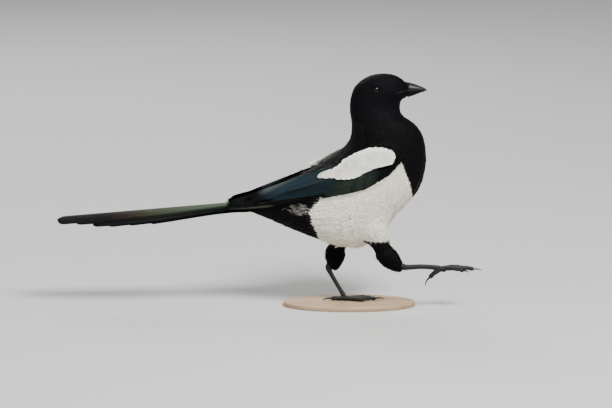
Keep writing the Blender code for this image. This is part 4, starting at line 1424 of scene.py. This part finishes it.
def scutes(word, points, normals):
    """The plates of a leg: how high each point of its skin stands on them, and how pale it is."""
    along_leg, gap, _ = along_path(np.array(TARSUS_AXES[word]) * (1, SIDES[word], 1), points)
    leg = np.linalg.norm(gap, axis=1) < LEG_HALF
    on_toe = np.linalg.norm(points - PADS[word], axis=1)
    front_x, front_z = LEG_FRONTS[word]
    front = np.where(leg, normals[:, 0] * front_x + normals[:, 2] * front_z, normals[:, 2])
    phase = np.where(leg, along_leg / SCUTE, on_toe / TOE_SCUTE) % 1.0
    plate = np.sqrt(np.clip(1 - (2 * phase - 1) ** 4, 0, 1))
    strength = np.clip(front * 1.6 + 0.1, 0, 1)
    return (plate - 0.8) * SCUTE_HEIGHT * strength, np.clip(strength * 0.6 + (1 - plate) * -0.8, 0, 1)


def build_leg(word, material, horn):
    """The scaly skin of one leg and foot, and its claws."""
    names = [f"tarsus_{word}", f"foot_{word}"]
    mesh = refined(f"leg_skin_{word}", names, LEG_VOXEL, 3, grow=0.40)
    points, normals = points_of(mesh), normals_of(mesh)
    standing = word == "left"
    if not standing:
        points = points + normals * LIFTED_LEG_GROWTH
    height, pale = scutes(word, points, normals)
    if standing:
        height[points[:, 2] < 0.25] = 0
    points = points + normals * height[:, None]
    if standing:
        points[:, 2] = np.maximum(points[:, 2], 0.0)
    move_points(mesh, points)
    set_tint(mesh, blend(LEG_GREY, LEG_PALE, pale * 0.6))
    set_box_uv(mesh)
    add_piece(f"leg_skin_{word}", mesh, material, names)
    claws = [f"claw_{toe}_{word}" for toe in ("inner", "middle", "outer", "hind")]
    mesh = refined(f"claws_{word}_horn", claws, CLAW_VOXEL, 3)
    set_box_uv(mesh)
    add_piece(f"claws_{word}_horn", mesh, horn, claws)


BASE_MIDDLE = 84.0
BASE_HALF_LENGTH = 72.0
BASE_HALF_WIDTH = 37.5
BASE_HEIGHT = 5.0
BASE_ROUNDING = 1.5
BASE_SIDES = 160


def build_base(material):
    """The oval board, as rings from its underside up the edge and in over its top."""
    levels = [(1.5, 0.0), (0.6, 0.0), (0.0, 0.6)]
    for share in shares(9):
        angle = pi / 2 * share
        levels.append((BASE_ROUNDING * (1 - cos(angle)), BASE_HEIGHT - BASE_ROUNDING * (1 - sin(angle))))
    levels += [(inset, BASE_HEIGHT) for inset in (6.0, 20.0, 37.0)]
    rings = []
    for inset, z in levels:
        first = (BASE_HALF_LENGTH - inset, 0, 0)
        second = (0, max(BASE_HALF_WIDTH - inset, 0.4), 0)
        rings.append(ring((BASE_MIDDLE, 0, z - SHIFT[2]), first, second, BASE_SIDES))
    mesh = ring_mesh("base_board", rings)
    set_box_uv(mesh)
    add_piece("base_board", mesh, material, ["stand_base"])


# Stage

def aim(holder, place, target):
    """Puts a lamp or the camera in its place and turns it to the target."""
    holder.location = place
    holder.rotation_mode = "QUATERNION"
    holder.rotation_quaternion = (target - holder.location).to_track_quat("-Z", "Y")


def build_stage():
    half = 15.0
    corners = [(-half, -half, 0), (half, -half, 0), (half, half, 0), (-half, half, 0)]
    mesh = bpy.data.meshes.new("floor")
    mesh.from_pydata(corners, [], [(0, 1, 2, 3)])
    mesh.materials.append(floor_material())
    floor = shown("floor", mesh)
    world = bpy.data.worlds.new("studio")
    world.use_nodes = True
    background = world.node_tree.nodes["Background"]
    background.inputs["Color"].default_value = (0.90, 0.905, 0.91, 1)
    background.inputs["Strength"].default_value = 0.42
    bpy.context.scene.world = world
    for name, place, size, power in (
        ("key", (0.9, -1.5, 2.2), 0.9, 132.0),
        ("fill", (-1.9, -1.3, 1.1), 1.8, 14.0),
        ("rim", (-0.6, 1.9, 1.7), 1.2, 34.0),
    ):
        lamp = bpy.data.lights.new(name, "AREA")
        lamp.size = size
        lamp.energy = power
        aim(shown(name, lamp), place, Vector((0.03, 0.0, 0.13)))


def build_camera():
    """Level with the photo's: from the bird's right and a little above."""
    elevation = radians(10)
    distance = 4.0
    frame_width = 0.6652
    target = Vector((0.0394, 0.0, 0.1071 + SHIFT[2] * MM))
    lens = bpy.data.cameras.new("camera")
    lens.sensor_width = 36.0
    lens.lens = lens.sensor_width * distance / frame_width
    lens.clip_start = 0.1
    lens.clip_end = 60.0
    camera = shown("camera", lens)
    aim(camera, target + Vector((0, -cos(elevation), sin(elevation))) * distance, target)
    bpy.context.scene.camera = camera


def build():
    black = feather_material("black_plumage", 0.58, 0.0, 0.30, 0.18, 0.25, 0.05)
    white = feather_material("white_plumage", 0.80, 0.05, 0.30, 0.08, 0.05, 0.15, translucent=True)
    flight = feather_material("flight_plumage", 0.48, 0.0, 0.45, 0.30, 0.22, 0.04)
    horn = horn_material("black_horn", (0.0055, 0.0055, 0.0055), 0.42, 0.30)
    # The lower mandible: the same black horn, painted darker for the shade it faces down into, and with
    # less gloss
    shaded_lower_horn = horn_material("shaded_lower_horn", (0.0022, 0.0022, 0.0022), 0.50, 0.08)
    skin, regions = build_skin()
    surface = search_tree(points_of(skin.data), triangles_of(skin.data))
    build_coat(skin, regions, surface, black, white)
    build_wisps(skin, regions, surface, white, black)
    for word, side in SIDES.items():
        grid = side_map(word)
        add_quills(f"flight_feathers_{word}", flight_quills(), grid, side, flight)
        add_quills(f"wing_coverts_{word}", covert_quills(), grid, side, flight)
        add_quills(f"scapulars_{word}", scapular_quills(side), grid, side, white)
    build_tail(flight)
    build_bill({"upper": horn, "lower": shaded_lower_horn})
    build_bristles(black)
    eye, lid, leg = eye_material(), skin_material(), leg_material()
    for word in SIDES:
        build_eye(word, eye)
        build_lid(word, lid)
        build_gape(word, horn)
        build_leg(word, leg, horn)
    build_base(wood_material())
    build_stage()
    build_camera()


build()
